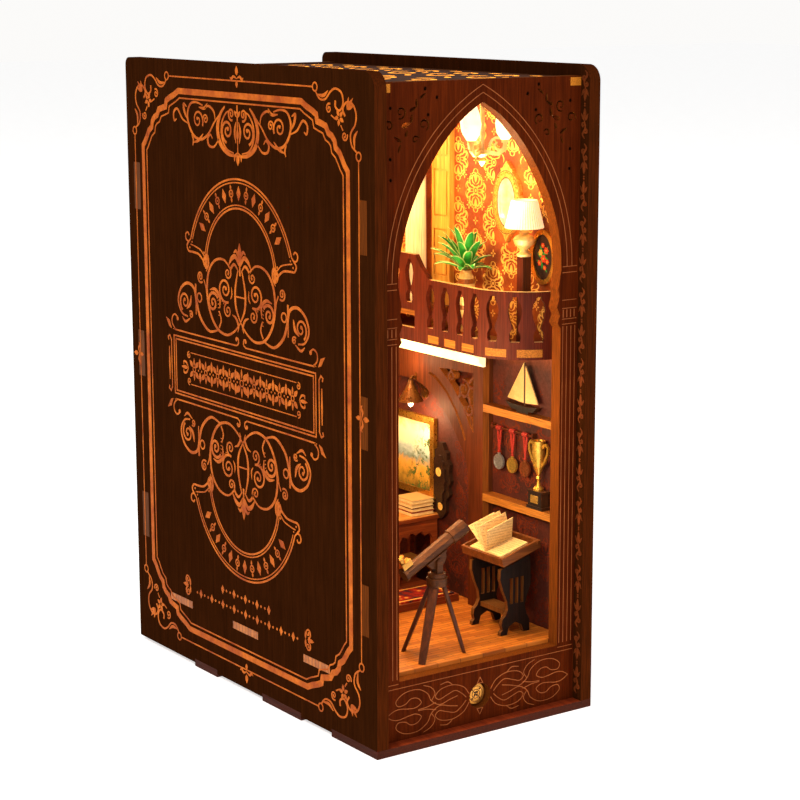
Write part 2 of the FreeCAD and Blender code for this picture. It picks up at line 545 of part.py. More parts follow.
# table lamp on a square post
lx, ly = 36.5, -62.2
box(str(lx - 1.9), str(lx + 1.9), str(ly - 1.9), str(ly + 1.9), "Dims.floor_high + Dims.board", "173", "lamp_post")
free(turned([(0, 173), (2.6, 173), (2.9, 173.8), (1.4, 174.8), (1.2, 175.4), (3.6, 177.6), (4.3, 179.4), (3.4, 180.6), (1.6, 181.4), (1.9, 182.2), (1.0, 183.2), (.8, 184.6), (.8, 192.0), (0, 192.0)], lx, ly), "lamp_base")
sl, sh, stl = S("shade_low_round"), S("shade_high_round"), S("shade_tall")
free(all_of([turned([(sl - .6, 183.8), (sl, 183.8), (sh, 183.8 + stl), (sh - .6, 183.8 + stl)], lx, ly),
             Part.makeCylinder(.98, 1.0, V(lx, ly, 190.6)).cut(Part.makeCylinder(.8, 1.2, V(lx, ly, 190.5))),
             Part.makeBox(2 * 5.3, .5, .5, V(lx - 5.3, ly - .25, 190.9)).cut(Part.makeCylinder(.8, 3, V(lx, ly, 190)))]), "lamp_shade")

# ceiling lamp: crossed scroll boards, three tulip shades
hx, hy = 18.0, -60.0


def scroll_arm(az):
    s1 = slab(spiral(6.0, 215.5, 3.3, 1.25, 1.0, math.radians(200), -1, .3), "xz", -.6, 1.2)
    s2 = slab([(0, 211.2), (2.4, 212.0), (6.0, 211.5), (9.0, 213.6), (9.4, 217.0), (8.4, 217.0), (8.0, 214.4), (5.6, 212.9), (2.4, 213.6), (0, 213.2)], "xz", -.6, 1.2)
    s3 = slab([(7.2, 216.4), (9.9, 216.4), (9.9, 217.6), (7.2, 217.6)], "xz", -.6, 1.2)
    s = all_of([s1, s2, s3])
    s.rotate(V(0, 0, 0), V(0, 0, 1), az)
    s.translate(V(hx, hy, 0))
    return s


stem = turned([(0, 207.6), (.5, 208.2), (1.5, 209.6), (.8, 210.6), (2.3, 212.2), (1.3, 214.0), (.9, 216.0), (.9, 230.0), (1.6, 231.5), (.9, 233.0), (.9, 235.6), (3.4, 236.5), (3.4, 237.5), (0, 237.5)], hx, hy)
arms = (205, 325, 85)
tulips = []
for n, az in enumerate(arms):
    x = hx + 8.5 * math.cos(math.radians(az))
    y = hy + 8.5 * math.sin(math.radians(az))
    tulips.append(turned([(0, 217.6), (1.6, 217.6), (3.2, 220.0), (3.7, 223.5), (3.1, 227.0), (2.0, 230.2), (1.5, 230.2), (2.6, 226.8), (3.1, 223.4), (2.7, 220.4), (1.2, 218.6), (0, 218.6)], x, y))
free(max(all_of([stem] + [scroll_arm(a) for a in arms]).cut(Part.makeCompound(tulips)).Solids, key=lambda q: q.Volume), "chandelier_frame")
free(Part.makeCompound(tulips), "chandelier_shades")

# ---------------------------------------------------------------- things on the shelves
# model sailing boat
by = -56.5
hull = slab([(by - 9.5, 114.6), (by - 7.0, 112.4), (by + 6.0, 112.2), (by + 10.0, 114.9), (by + 6.0, 114.2), (by - 4.0, 114.0)], "yz", 40.2, 2.6)
stand = Part.makeBox(2.2, 7, 1.2, V(40.4, by - 4, S("shelf_top_high")))
mast = Part.makeCylinder(.35, 17.6, V(41.5, by - .8, 113.4))
free(all_of([hull, stand, mast]), "boat_hull")
sail_a = slab([(by - .3, 131.0), (by + 9.8, 115.9), (by - .3, 115.2)], "yz", 41.25, .5)
sail_b = slab([(by - 1.3, 129.8), (by - 1.3, 115.2), (by - 9.0, 115.8)], "yz", 41.25, .5)
free(Part.makeCompound([sail_a, sail_b]), "boat_sails")

# medal rail: a round bar on two feet; each medal hangs from it on a loop
mrz = S("medal_rail_height")
mrx = 42.0
feet = [Part.makeBox(wall - mrx, 1.2, 2.0, V(mrx, y, mrz - 1.0)) for y in (-61.8, -36.6)]
bar = Part.makeCylinder(.45, 26.4, V(mrx, -61.8, mrz), V(0, 1, 0))
free(all_of([bar] + feet), "medal_rail")
mr, mt, md = S("medal_round"), S("medal_thick"), S("medal_drop")
for lab, y in (("silver_medal", -40.9), ("gold_medal", -49.3), ("bronze_medal", -57.3)):
    yy = y
    loop = Part.makeCylinder(.95, 3.0, V(mrx, yy - 1.5, mrz), V(0, 1, 0)).cut(Part.makeCylinder(.5, 3.2, V(mrx, yy - 1.6, mrz), V(0, 1, 0)))
    rib = [slab([(yy - 1.5, mrz - .7), (yy - .5, mrz - .7), (yy + .5, mrz - 9.6), (yy - .4, mrz - 9.6)], "yz", mrx - .25, .3),
           slab([(yy + 1.5, mrz - .7), (yy + .5, mrz - .7), (yy - .5, mrz - 9.6), (yy + .4, mrz - 9.6)], "yz", mrx - .25, .3)]
    disc = Part.makeCylinder(mr, mt, V(mrx - .5, yy, mrz - md), V(1, 0, 0))
    rim = Part.makeCylinder(mr, .15, V(mrx - .65, yy, mrz - md), V(1, 0, 0)).cut(Part.makeCylinder(mr - .5, .3, V(mrx - .7, yy, mrz - md), V(1, 0, 0)))
    ring = Part.makeBox(.5, 1.4, 1.6, V(mrx - .4, yy - .7, mrz - md + mr - .3))
    free(all_of([loop] + rib + [disc, rim, ring]), lab)

# two-handled cup on a stepped plinth
ux, uy = 41.3, -66.4
plinth = all_of([Part.makeBox(4.4, 9.4, 1.2, V(ux - 2.2, uy - 4.7, 75.2)), Part.makeBox(3.8, 8.0, 5.2, V(ux - 1.9, uy - 4.0, 76.4)),
                 Part.makeBox(4.2, 8.8, .8, V(ux - 2.1, uy - 4.4, 81.6))])
free(plinth, "cup_plinth")
cr = S("cup_round")
cup = turned([(0, 82.4), (2.0, 82.4), (2.1, 83.2), (.9, 84.4), (.55, 86.2), (1.0, 87.2), (.6, 88.2), (1.1, 89.4), (2.1, 92.0), (cr - .2, 96.0), (cr, 102.0), (cr - .5, 102.0), (cr - .7, 96.4), (1.4, 92.6), (0, 91.2)], ux, uy)
hnd = []
for s in (-1, 1):
    o = [(uy + s * 1.6, 91.0), (uy + s * 4.0, 93.6), (uy + s * 6.0, 97.4), (uy + s * 6.1, 100.0), (uy + s * 4.8, 101.6), (uy + s * 3.0, 101.0), (uy + s * 2.3, 99.6),
         (uy + s * 3.2, 99.2), (uy + s * 3.8, 100.3), (uy + s * 4.8, 100.3), (uy + s * 5.2, 99.2), (uy + s * 5.0, 97.6), (uy + s * 3.2, 94.4), (uy + s * 1.2, 92.4)]
    hnd.append(slab(o, "yz", ux - .45, .9))
free(all_of([cup] + hnd), "trophy_cup")

# ---------------------------------------------------------------- niche
box("-(%s) + Dims.skin" % IN, "Dims.facade", "-18.5", RY0, FT, FT + " + Dims.board", "dais")
rug_z = ft + bd
# gold-framed landscape
pfr = Part.makeBox(1.8, 29, 34, V(wall - 1.8, 3.4, 64.6)).cut(Part.makeBox(1.4, 23.4, 28.4, V(wall - 2.0, 6.2, 67.4)))
free(pfr, "landscape_frame")
free(Part.makeBox(.5, 23.3, 28.3, V(wall - 1.15, 6.25, 67.45)), "landscape_picture")
# wall lamp: back plate, curved arm, bell shade and bulb
wy = 11.5
bracket = all_of([Part.makeCylinder(2.2, .8, V(wall - .8, wy, 108), V(1, 0, 0)),
             slab([(36.0, 114.6), (37.4, 116.2), (40.6, 114.6), (wall - .4, 108.6), (wall - .4, 107.4), (40.0, 113.4), (37.6, 114.8), (36.8, 113.6)], "xz", wy - .5, 1.0)])
shade = (turned([(0, 114.4), (1.0, 114.4), (1.4, 112.6), (3.4, 109.0), (5.4, 105.6), (4.9, 105.6), (2.9, 109.2), (.9, 112.2), (0, 112.2)], 36.4, wy))
free(all_of([bracket, shade]), "wall_lamp")
free(turned([(0, 112.2), (.7, 112.2), (.7, 109.6), (1.4, 107.6), (1.5, 105.6), (.9, 103.6), (0, 103.0)], 36.4, wy), "wall_lamp_bulb")
# carved pendulum clock on the wall
cy0 = -1.5
clock = [(cy0 - 1.2, 89.6), (cy0 - 2.6, 86.8), (cy0 - 4.2, 86.0), (cy0 - 4.0, 83.0), (cy0 - 6.2, 81.2), (cy0 - 5.6, 77.2), (cy0 - 6.8, 74.4), (cy0 - 5.2, 71.4), (cy0 - 6.0, 68.4), (cy0 - 3.4, 65.6), (cy0 - 3.6, 61.0), (cy0 - 1.8, 58.6),
         (cy0, 57.4), (cy0 + 1.8, 58.6), (cy0 + 3.6, 61.0), (cy0 + 3.4, 65.6), (cy0 + 6.0, 68.4), (cy0 + 5.2, 71.4), (cy0 + 6.8, 74.4), (cy0 + 5.6, 77.2), (cy0 + 6.2, 81.2), (cy0 + 4.0, 83.0), (cy0 + 4.2, 86.0), (cy0 + 2.6, 86.8), (cy0 + 1.2, 89.6)]
cl = slab(clock, "yz", wall - 1.8, 1.8)
cl2 = slab([(cy0 + (a - cy0) * .62, 74 + (b - 74) * .66) for a, b in clock], "yz", wall - 2.6, 1.0)
cl_all = all_of([cl, cl2, Part.makeCylinder(1.9, 1.0, V(wall - 3.0, cy0, 77.4), V(1, 0, 0)), Part.makeCylinder(1.7, 1.0, V(wall - 2.4, cy0 - .5, 62.9), V(1, 0, 0))])
# trimmed where the picture frame and the table stand against it
cl_all = cl_all.cut(Part.makeBox(2.0, 29.3, 34.3, V(wall - 1.9, 3.3, 64.5))).cut(Part.makeBox(5, 25, 4.1, V(wall - 5, -.1, 55.0)))
free(max(cl_all.Solids, key=lambda q: q.Volume), "carved_clock")
# side table with a scalloped apron, four books on it
tx0, tx1, ty0, ty1 = 20.0, 43.4, 0.0, 20.0
table_top = Part.makeBox(tx1 - tx0, ty1 - ty0, 1.6, V(tx0, ty0, 57.4))
apron = [(tx0 + 1, 57.4), (tx1 - 1, 57.4), (tx1 - 1, 30.55), (tx1 - 3.4, 30.55), (tx1 - 3.4, 49.5), (tx1 - 5.0, 51.6), (tx1 - 7.4, 50.6), (tx1 - 9.2, 52.8), (31.7, 51.4), (tx0 + 9.2, 52.8), (tx0 + 7.4, 50.6), (tx0 + 5.0, 51.6), (tx0 + 3.4, 49.5), (tx0 + 3.4, 30.55), (tx0 + 1, 30.55)]
rug_top = ft + bd
apron = [(min(a, 43.0), rug_top if abs(b - 30.55) < .01 else b) for a, b in apron]
fr_ = [slab(apron, "xz", ty0 + 1.0, 1.8), slab(apron, "xz", ty1 - 2.8, 1.8),
       Part.makeBox(1.6, ty1 - ty0 - 5.6, 6, V(tx0 + 1.2, ty0 + 2.8, 51.4)), Part.makeBox(1.6, ty1 - ty0 - 5.6, 6, V(tx1 - 3.0, ty0 + 2.8, 51.4)),
       Part.makeBox(tx1 - tx0 - 5.6, ty1 - ty0 - 5.6, 1.2, V(tx0 + 2.6, ty0 + 2.8, 38))]
table = all_of(fr_)
free(all_of([table, table_top]), "side_table")
stack = []
for n, (a, dx, dy) in enumerate(((0, 0, 0), (1.5, .2, .3), (-2, -.1, .1), (2.5, .3, .2))):
    z0 = 59.0 + n * 1.65
    b = Part.makeBox(11.2, 12.6, 1.62, V(30.5 + dx, 2.4 + dy, z0))
    g = Part.makeBox(10.9, 13.2, 1.06, V(31.05 + dx, 2.1 + dy, z0 + .28))
    pg = b.cut(g).fuse(Part.makeBox(10.3, 11.9, 1.06, V(31.05 + dx, 2.75 + dy, z0 + .28)))
    stack.append(pg)
free(Part.makeCompound(stack), "book_stack")

# ---------------------------------------------------------------- telescope
tX, tY, tZ = S("tele_x"), S("tele_y"), S("tele_z")
tilt = math.radians(S("tube_tilt"))
ax_t = V(math.cos(tilt), 0, math.sin(tilt))
up_t = V(-math.sin(tilt), 0, math.cos(tilt))


def octo(r, u0, u1, r2=None):
    """Eight-sided tube length along the telescope axis."""
    secs = []
    for u, q in ((u0, r), (u1, r2 or r)):
        c = V(tX, tY, tZ) + up_t * 4.4 + ax_t * u
        pts = [c + V(0, 1, 0) * (q * math.cos(math.radians(22.5 + 45 * i))) + up_t * (q * math.sin(math.radians(22.5 + 45 * i))) for i in range(8)]
        secs.append(Part.makePolygon(pts + pts[:1]))
    return Part.makeLoft(secs, True, True)


tr, tl = S("tube_round"), S("tube_long")
tube = all_of([octo(tr, -14.0, 9.0, tr + .25), octo(tr + .75, 9.0, 16.5), octo(tr + .45, -15.0, -13.6)])
bore_t = octo(tr - .1, 13.5, 17.5)
free(tube.cut(bore_t), "telescope_tube")
e0 = V(tX, tY, tZ) + up_t * (4.4 + tr - .15) + ax_t * -12.2
eye = all_of([Part.makeBox(4.4, 3.2, 2.4, V(-2.2, -1.6, 0)), Part.makeCylinder(1.25, 2.0, V(-.9, 0, 2.2)), Part.makeCylinder(1.6, .9, V(-.9, 0, 4.0))])
eye.rotate(V(0, 0, 0), V(0, 1, 0), -S("tube_tilt"))
eye.translate(e0)
eye = eye.cut(octo(tr + .02, -15, -9, tr + .06)).cut(octo(tr + .47, -15.2, -13.4))
free(eye, "telescope_eyepiece")
# saddle under the tube, with the tilt bore
sad = slab([(-4.6, 2.1), (-3.9, -.6), (-1.8, -2.2), (1.8, -2.2), (3.9, -.6), (4.6, 2.1)], "xz", -1.1, 2.2)
sad = sad.fuse(Part.makeBox(9.6, 3.4, .6, V(-4.8, -1.7, 1.6)))
sad.rotate(V(0, 0, 0), V(0, 1, 0), -S("tube_tilt"))
sad.translate(V(tX, tY, tZ))
sad = sad.cut(octo(tr + .02, -8, 8, tr + .2)).cut(Part.makeCylinder(.86, 4, V(tX, tY - 2, tZ), V(0, 1, 0)))
sad = sad.cut(tube)
free(max(sad.Solids, key=lambda q: q.Volume), "telescope_saddle")
# fork: two cheeks with the tilt pin, on a round turntable with a spigot
fork = all_of([Part.makeBox(2.5, .9, 4.9, V(tX - 1.25, tY - 2.2, tZ - 4.9)), Part.makeBox(2.5, .9, 4.9, V(tX - 1.25, tY + 1.3, tZ - 4.9)),
               Part.makeCylinder(1.25, .9, V(tX, tY - 2.2, tZ), V(0, 1, 0)), Part.makeCylinder(1.25, .9, V(tX, tY + 1.3, tZ), V(0, 1, 0)),
               Part.makeCylinder(3.4, 1.5, V(tX, tY, tZ - 6.0)), Part.makeCylinder(.8, 4.6, V(tX, tY - 2.3, tZ), V(0, 1, 0)),
               Part.makeCylinder(1.2, 2.6, V(tX, tY, tZ - 8.3))])
free(fork, "telescope_fork")
hz = tZ - 9.2
head = Part.makeCylinder(3.9, 3.0, V(tX, tY, hz)).cut(Part.makeCylinder(1.26, 4, V(tX, tY, hz - .5)))
free(head, "tripod_head")
feet_at = ((-17.6, -58.6), (-21.5, -76.4), (0.8, -73.6))
legs = []
for n, (a, b) in enumerate(feet_at):
    d = V(a - tX, b - tY, 0)
    d.normalize()
    top = V(tX, tY, hz) + d * 2.7
    foot = V(a, b, ft)
    t_ = V(-d.y, d.x, 0)
    q = [(top, 1.35, .55), (foot, 1.0, .5)]
    secs = []
    for c, hw, ht in q:
        pts = [c + t_ * hw + d * ht, c - t_ * hw + d * ht, c - t_ * hw - d * ht, c + t_ * hw - d * ht]
        secs.append(Part.makePolygon(pts + pts[:1]))
    leg = Part.makeLoft(secs, True, True)
    band_c = top + (foot - top) * .45
    bnd = [band_c + t_ * 1.45 + d * .85, band_c - t_ * 1.45 + d * .85, band_c - t_ * 1.45 - d * .85, band_c + t_ * 1.45 - d * .85]
    bz = Part.Face(Part.makePolygon(bnd + bnd[:1])).extrude(V(0, 0, 1.1))
    legs.append(all_of([leg, bz]))
free(Part.makeCompound(legs), "tripod_legs")

# ---------------------------------------------------------------- reading desk
kx0, kx1, ky0, ky1 = 21.5, 39.6, -69.2, -43.2
slope = math.atan2(5.2, kx1 - kx0)
zt = 58.6


def tilted(shape):
    shape.rotate(V(0, 0, 0), V(0, 1, 0), -math.degrees(slope))
    shape.translate(V(kx0, 0, zt))
    return shape


lng = (kx1 - kx0) / math.cos(slope)
tray = all_of([Part.makeBox(lng, ky1 - ky0, 1.2, V(0, ky0, -3.4)), Part.makeBox(1.0, ky1 - ky0, 3.4, V(0, ky0, -3.4)), Part.makeBox(1.0, ky1 - ky0, 3.4, V(lng - 1, ky0, -3.4)),
               Part.makeBox(lng, 1.0, 3.4, V(0, ky0, -3.4)), Part.makeBox(lng, 1.0, 3.4, V(0, ky1 - 1.0, -3.4)), Part.makeBox(1.6, 3, 1.0, V(lng - 1.4, ky0 - .6, -1.2))])
free(tilted(tray), "desk_tray")
tp = [(26.6, 0), (27.6, 3.2), (30.6, 4.6), (33.6, 3.2), (34.8, 0), (37.6, 0), (37.6, 4.6), (36.2, 7.0), (35.2, 10.5), (36.4, 14.5), (38.2, 19.0), (38.0, 25.0), (37.8, 30.4),
      (23.4, 26.4), (23.2, 22.5), (24.6, 18.0), (26.6, 13.5), (27.0, 10.0), (25.8, 7.6), (24.4, 6.4), (24.0, 4.2), (24.6, 2.2), (23.6, 1.4), (23.4, 0)]
sides = []
for y in (-66.2, -48.2):
    sd = slab([(a, ft + b) for a, b in tp], "xz", y, 1.8)
    for xs in (28.6, 31.2, 33.8):
        sd = sd.cut(slab([(xs - .7, ft + 12), (xs + .7, ft + 12), (xs + .75, ft + 22.4), (xs - .75, ft + 22.4)], "xz", y - 1, 4))
    lim = Part.makeBox(40, 3, 20, V(-2, y - .5, -2.2 - 1.2))
    lim = tilted(lim)
    sides.append(sd.cut(lim))
free(all_of(sides + [Part.makeBox(6.8, 17.0, 1.8, V(27.4, -64.8, ft + 7.2))]), "desk_stand")
# open book: block of pages, four raised leaves
bk = [Part.makeBox(14.2, 20.8, .8, V(1.4, ky0 + 2.4, -2.18)), Part.makeBox(13.4, 9.6, 1.2, V(1.8, ky0 + 2.8, -1.4)), Part.makeBox(13.4, 9.6, 1.0, V(1.8, ky0 + 13.2, -1.4))]
for n, a in enumerate((52, 72, 90, 112)):
    lf = Part.makeBox(13.0, .28, 12.6 - .5 * n, V(2.0, -.14, -1.0))
    lf.rotate(V(0, 0, -1.0), V(1, 0, 0), a - 90)
    lf.translate(V(0, ky0 + 12.75, 0))
    bk.append(lf)
bk.append(Part.makeBox(13.4, 1.6, .8, V(1.8, ky0 + 12.0, -1.4)))
free(tilted(all_of(bk)), "open_book")

# ---------------------------------------------------------------- light and switch, under the floor
bz_ = S("button_height")
by_ = fy0 + 2.5
disc = Part.makeCylinder(S("button_round"), S("button_thick"), V(0, by_, bz_), V(0, 1, 0))
for sx in (-1, 1):
    for sz in (-1, 1):
        disc = disc.cut(Part.makeCylinder(.42, .6, V(sx * 1.75, by_ - .1, bz_ + sz * 1.75), V(0, 1, 0)))
disc = disc.cut(Part.makeCylinder(1.15, .35, V(0, by_ - .1, bz_), V(0, 1, 0)))
button = all_of([disc, Part.makeCylinder(S("stem_round"), 8.5, V(0, by_ + 1.2, bz_), V(0, 1, 0))])
free(button, "touch_button")
body_ = box("-7", "7", "-78.6", "-66", "6", "20")
board_ = box("-16", "16", "-66", "-64.4", BT, "21")
cut(fuse([body_, board_]), [rod("Dims.bush_round", "12", ("0", "-79", "Dims.button_height"), "y"),
                            rod("Dims.button_round + 0.6", "1.4", ("0", "-79", "Dims.button_height"), "y")], "switch")
tray_b = box("-30", "30", "44", "78", BT, "16")
cut(tray_b, [box("-28", "28", "46", "59.6", BT + " + 1.5", "17"), box("-28", "28", "61", "76.4", BT + " + 1.5", "17")], "battery_tray")
cell_a = rod("Dims.cell_round", "Dims.cell_long", ("-22.2", "52.8", BT + " + 1.5 + Dims.cell_round + 0.05"), "x")
cell_b = rod("Dims.cell_round", "Dims.cell_long", ("-22.2", "68.6", BT + " + 1.5 + Dims.cell_round + 0.05"), "x")
cells = doc.addObject("Part::Compound", "cells")
cells.Links = [cell_a, cell_b]
keep(cells, "battery_cells")
# hatch door on two pins, opening downward to the rear
dy0 = ry0 + 2.5
door = all_of([Part.makeBox(61.0, 2.0, 14.4, V(-30.5, dy0 - 1.0, 7.2)), Part.makeCylinder(1.5, 61.0, V(-30.5, dy0, 6.6), V(1, 0, 0)),
               Part.makeCylinder(S("door_pin_round"), 64.4, V(-32.2, dy0, 6.6), V(1, 0, 0))])
door = door.cut(Part.makeBox(10, 1.2, 2.2, V(-5, dy0 + .3, 17.6)))
free(door, "battery_door")

# ---------------------------------------------------------------- checks and files
doc.recompute()
bad = []
# identical pieces that share a file
SHARED = {"chandelier_shades": 3, "book_stack": 4, "battery_cells": 2, "tripod_legs": 3, "boat_sails": 2}
for o in doc.Objects:
    if any(s in ("Invalid", "Error") for s in o.State):
        bad.append((o.Name, o.State))
for o in PARTS:
    s = o.Shape
    if s.isNull() or not s.isValid() or s.Volume <= 0:
        bad.append((o.Label, "shape"))
    elif len(s.Solids) != SHARED.get(o.Label, 1):
        bad.append((o.Label, "solids %d" % len(s.Solids)))
if bad:
    raise SystemExit("failed: %s" % bad)
os.makedirs("parts", exist_ok=True)
for f in os.listdir("parts"):
    if f.endswith(".step"):
        os.remove(os.path.join("parts", f))
lo, hi = [1e9] * 3, [-1e9] * 3
for o in PARTS:
    o.Shape.exportStep("parts/%s.step" % o.Label)
    b = o.Shape.BoundBox
    lo = [min(lo[0], b.XMin), min(lo[1], b.YMin), min(lo[2], b.ZMin)]
    hi = [max(hi[0], b.XMax), max(hi[1], b.YMax), max(hi[2], b.ZMax)]
print("nodes", len(PARTS), "box", [round(v, 2) for v in lo], [round(v, 2) for v in hi])
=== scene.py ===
import math, random
import bpy, bmesh
from mathutils import Matrix, Vector


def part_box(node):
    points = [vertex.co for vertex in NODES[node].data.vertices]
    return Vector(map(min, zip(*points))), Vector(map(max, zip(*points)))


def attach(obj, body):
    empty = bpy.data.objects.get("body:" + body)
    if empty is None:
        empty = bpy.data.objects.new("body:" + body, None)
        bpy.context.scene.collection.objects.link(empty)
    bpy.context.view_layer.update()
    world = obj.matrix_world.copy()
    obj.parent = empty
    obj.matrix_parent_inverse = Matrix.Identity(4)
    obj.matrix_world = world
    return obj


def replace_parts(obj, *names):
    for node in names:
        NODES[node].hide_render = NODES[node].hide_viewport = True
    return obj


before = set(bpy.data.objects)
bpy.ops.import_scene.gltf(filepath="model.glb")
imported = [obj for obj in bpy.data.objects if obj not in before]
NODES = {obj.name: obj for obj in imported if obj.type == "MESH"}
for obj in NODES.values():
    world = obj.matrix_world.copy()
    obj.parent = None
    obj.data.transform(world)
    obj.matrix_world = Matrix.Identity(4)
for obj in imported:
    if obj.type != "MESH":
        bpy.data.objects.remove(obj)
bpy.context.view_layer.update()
MM = 0.001
RND = random.Random(11)
scene = bpy.context.scene


# ------------------------------------------------------------------ colour and node helpers
def lin(c):
    """sRGB 0-255 to linear RGBA."""
    out = []
    for v in c[:3]:
        v = v / 255.0
        out.append(v / 12.92 if v <= 0.04045 else ((v + 0.055) / 1.055) ** 2.4)
    return (*out, 1.0)


class Mat:
    def __init__(self, name):
        self.m = bpy.data.materials.new(name)
        self.m.use_nodes = True
        self.t = self.m.node_tree
        self.t.nodes.clear()
        self.out = self.new("ShaderNodeOutputMaterial")
        self.b = self.new("ShaderNodeBsdfPrincipled")
        self.link(self.b.outputs["BSDF"], self.out.inputs["Surface"])
        self.co = self.new("ShaderNodeTexCoord").outputs["Object"]
        self.b.inputs["Specular IOR Level"].default_value = 0.25

    def new(self, kind, **kw):
        n = self.t.nodes.new(kind)
        for k, v in kw.items():
            setattr(n, k, v)
        return n

    def link(self, a, b):
        self.t.links.new(a, b)

    def scaled(self, s, off=(0, 0, 0)):
        n = self.new("ShaderNodeMapping")
        n.inputs["Scale"].default_value = s
        n.inputs["Location"].default_value = off
        self.link(self.co, n.inputs["Vector"])
        return n.outputs["Vector"]

    def noise(self, s, detail=4.0, rough=0.55, dist=0.0, off=(0, 0, 0)):
        if not isinstance(s, tuple):
            s = (s, s, s)
        n = self.new("ShaderNodeTexNoise")
        n.inputs["Scale"].default_value = 1.0
        n.inputs["Detail"].default_value = detail
        n.inputs["Roughness"].default_value = rough
        n.inputs["Distortion"].default_value = dist
        self.link(self.scaled(s, off), n.inputs["Vector"])
        return n.outputs["Fac"]

    def ramp(self, fac, stops):
        n = self.new("ShaderNodeValToRGB")
        e = n.color_ramp.elements
        while len(e) > 1:
            e.remove(e[-1])
        e[0].position, e[0].color = stops[0][0], stops[0][1]
        for p, c in stops[1:]:
            x = e.new(p)
            x.color = c
        self.link(fac, n.inputs["Fac"])
        return n.outputs["Color"]

    def val(self, fac, a, b, lo=0.3, hi=0.7):
        n = self.new("ShaderNodeMapRange")
        n.inputs["From Min"].default_value = lo
        n.inputs["From Max"].default_value = hi
        n.inputs["To Min"].default_value = a
        n.inputs["To Max"].default_value = b
        self.link(fac, n.inputs["Value"])
        return n.outputs["Result"]

    def mix(self, fac, a, b, blend="MIX"):
        n = self.new("ShaderNodeMix", data_type="RGBA", blend_type=blend)
        if isinstance(fac, (int, float)):
            n.inputs[0].default_value = fac
        else:
            self.link(fac, n.inputs[0])
        for i, v in ((6, a), (7, b)):
            if isinstance(v, tuple):
                n.inputs[i].default_value = v
            else:
                self.link(v, n.inputs[i])
        return n.outputs[2]

    def math(self, op, a, b=0.0, clamp=False):
        n = self.new("ShaderNodeMath", operation=op, use_clamp=clamp)
        for i, v in enumerate((a, b)):
            if isinstance(v, (int, float)):
                n.inputs[i].default_value = v
            else:
                self.link(v, n.inputs[i])
        return n.outputs[0]

    def axis(self, which):
        n = self.new("ShaderNodeSeparateXYZ")
        self.link(self.co, n.inputs[0])
        return n.outputs["XYZ".index(which)]

    def normal(self, which):
        g = self.new("ShaderNodeTexCoord").outputs["Normal"]
        n = self.new("ShaderNodeSeparateXYZ")
        self.link(g, n.inputs[0])
        return self.math("ABSOLUTE", n.outputs["XYZ".index(which)])

    def bump(self, height, strength, dist=0.0002):
        n = self.new("ShaderNodeBump")
        n.inputs["Strength"].default_value = strength
        n.inputs["Distance"].default_value = dist
        self.link(height, n.inputs["Height"])
        self.link(n.outputs["Normal"], self.b.inputs["Normal"])

    def set(self, **kw):
        for k, v in kw.items():
            self.b.inputs[k.replace("_", " ")].default_value = v
        return self


GRAIN = {"X": (26, 620, 620), "Y": (620, 26, 620), "Z": (620, 620, 26)}
FIBRE = {"X": (90, 3200, 3200), "Y": (3200, 90, 3200), "Z": (3200, 3200, 90)}


def board(name, dark, light, edge=None, face=None, grain="Z", rough=(0.5, 0.72), bump=0.25, spec=0.2, blotch=0.35, glow=0.0, edge_axis=None, painted_edge_light=0.0):
    """Stained plywood: grain stretched along one axis, fine fibres, blotches, and laser-cut edges of another tone. On
    some boards the edge tone also carries painted light, and the cut edges inside the case, or the whole board, can
    glow as painted light.
    """
    k = Mat(name)
    g = k.noise(GRAIN[grain], 6.0, 0.6, 0.6)
    f = k.noise(FIBRE[grain], 3.0, 0.5)
    bl = k.noise(55, 3.0, 0.5, 0.3, (3.1, 1.7, 0.4))
    base = k.ramp(g, [(0.28, lin(dark)), (0.52, lin(tuple((a + b) / 2 for a, b in zip(dark, light)))), (0.74, lin(light))])
    fib = k.ramp(f, [(0.32, (0.55, 0.5, 0.47, 1)), (0.62, (1.15, 1.15, 1.15, 1))])
    col = k.mix(0.55, base, fib, "MULTIPLY")
    shade = k.ramp(bl, [(0.3, (1 - blotch, 1 - blotch, 1 - blotch, 1)), (0.7, (1.1, 1.1, 1.1, 1))])
    col = k.mix(0.6, col, shade, "MULTIPLY")
    if edge is not None:
        lay = k.noise(FIBRE[grain], 2.0, 0.5, 0.0, (0.2, 0.5, 0.9))
        ecol = k.ramp(lay, [(0.3, lin(tuple(v * 0.62 for v in edge))), (0.7, lin(edge))])
        if edge_axis:
            mask = k.math("LESS_THAN", k.normal(edge_axis), 0.8)
        else:
            mask = k.math("GREATER_THAN", k.normal(face), 0.8)
        col = k.mix(mask, ecol, col)
        # the masked cut edges inside the case glow: painted light from the lamps inside
        if painted_edge_light:
            sep = k.new("ShaderNodeSeparateXYZ")
            k.link(k.co, sep.inputs[0])
            inside = k.math("MULTIPLY", k.math("GREATER_THAN", sep.outputs[1], -0.0786), k.math("LESS_THAN", k.math("ABSOLUTE", sep.outputs[0]), 0.0438))
            off = k.math("MAXIMUM", mask, k.math("SUBTRACT", 1.0, inside))
            gl = k.mix(off, lin((255, 176, 64)), (0, 0, 0, 1))
            k.link(gl, k.b.inputs["Emission Color"])
            k.set(Emission_Strength=painted_edge_light)
    k.link(col, k.b.inputs["Base Color"])
    k.link(k.val(f, rough[1], rough[0]), k.b.inputs["Roughness"])
    k.bump(f, bump)
    k.set(**{"Specular_IOR_Level": spec})
    # glow makes the whole board shine by itself: painted light
    if glow:
        k.link(col, k.b.inputs["Emission Color"])
        k.set(Emission_Strength=glow)
    return k.m


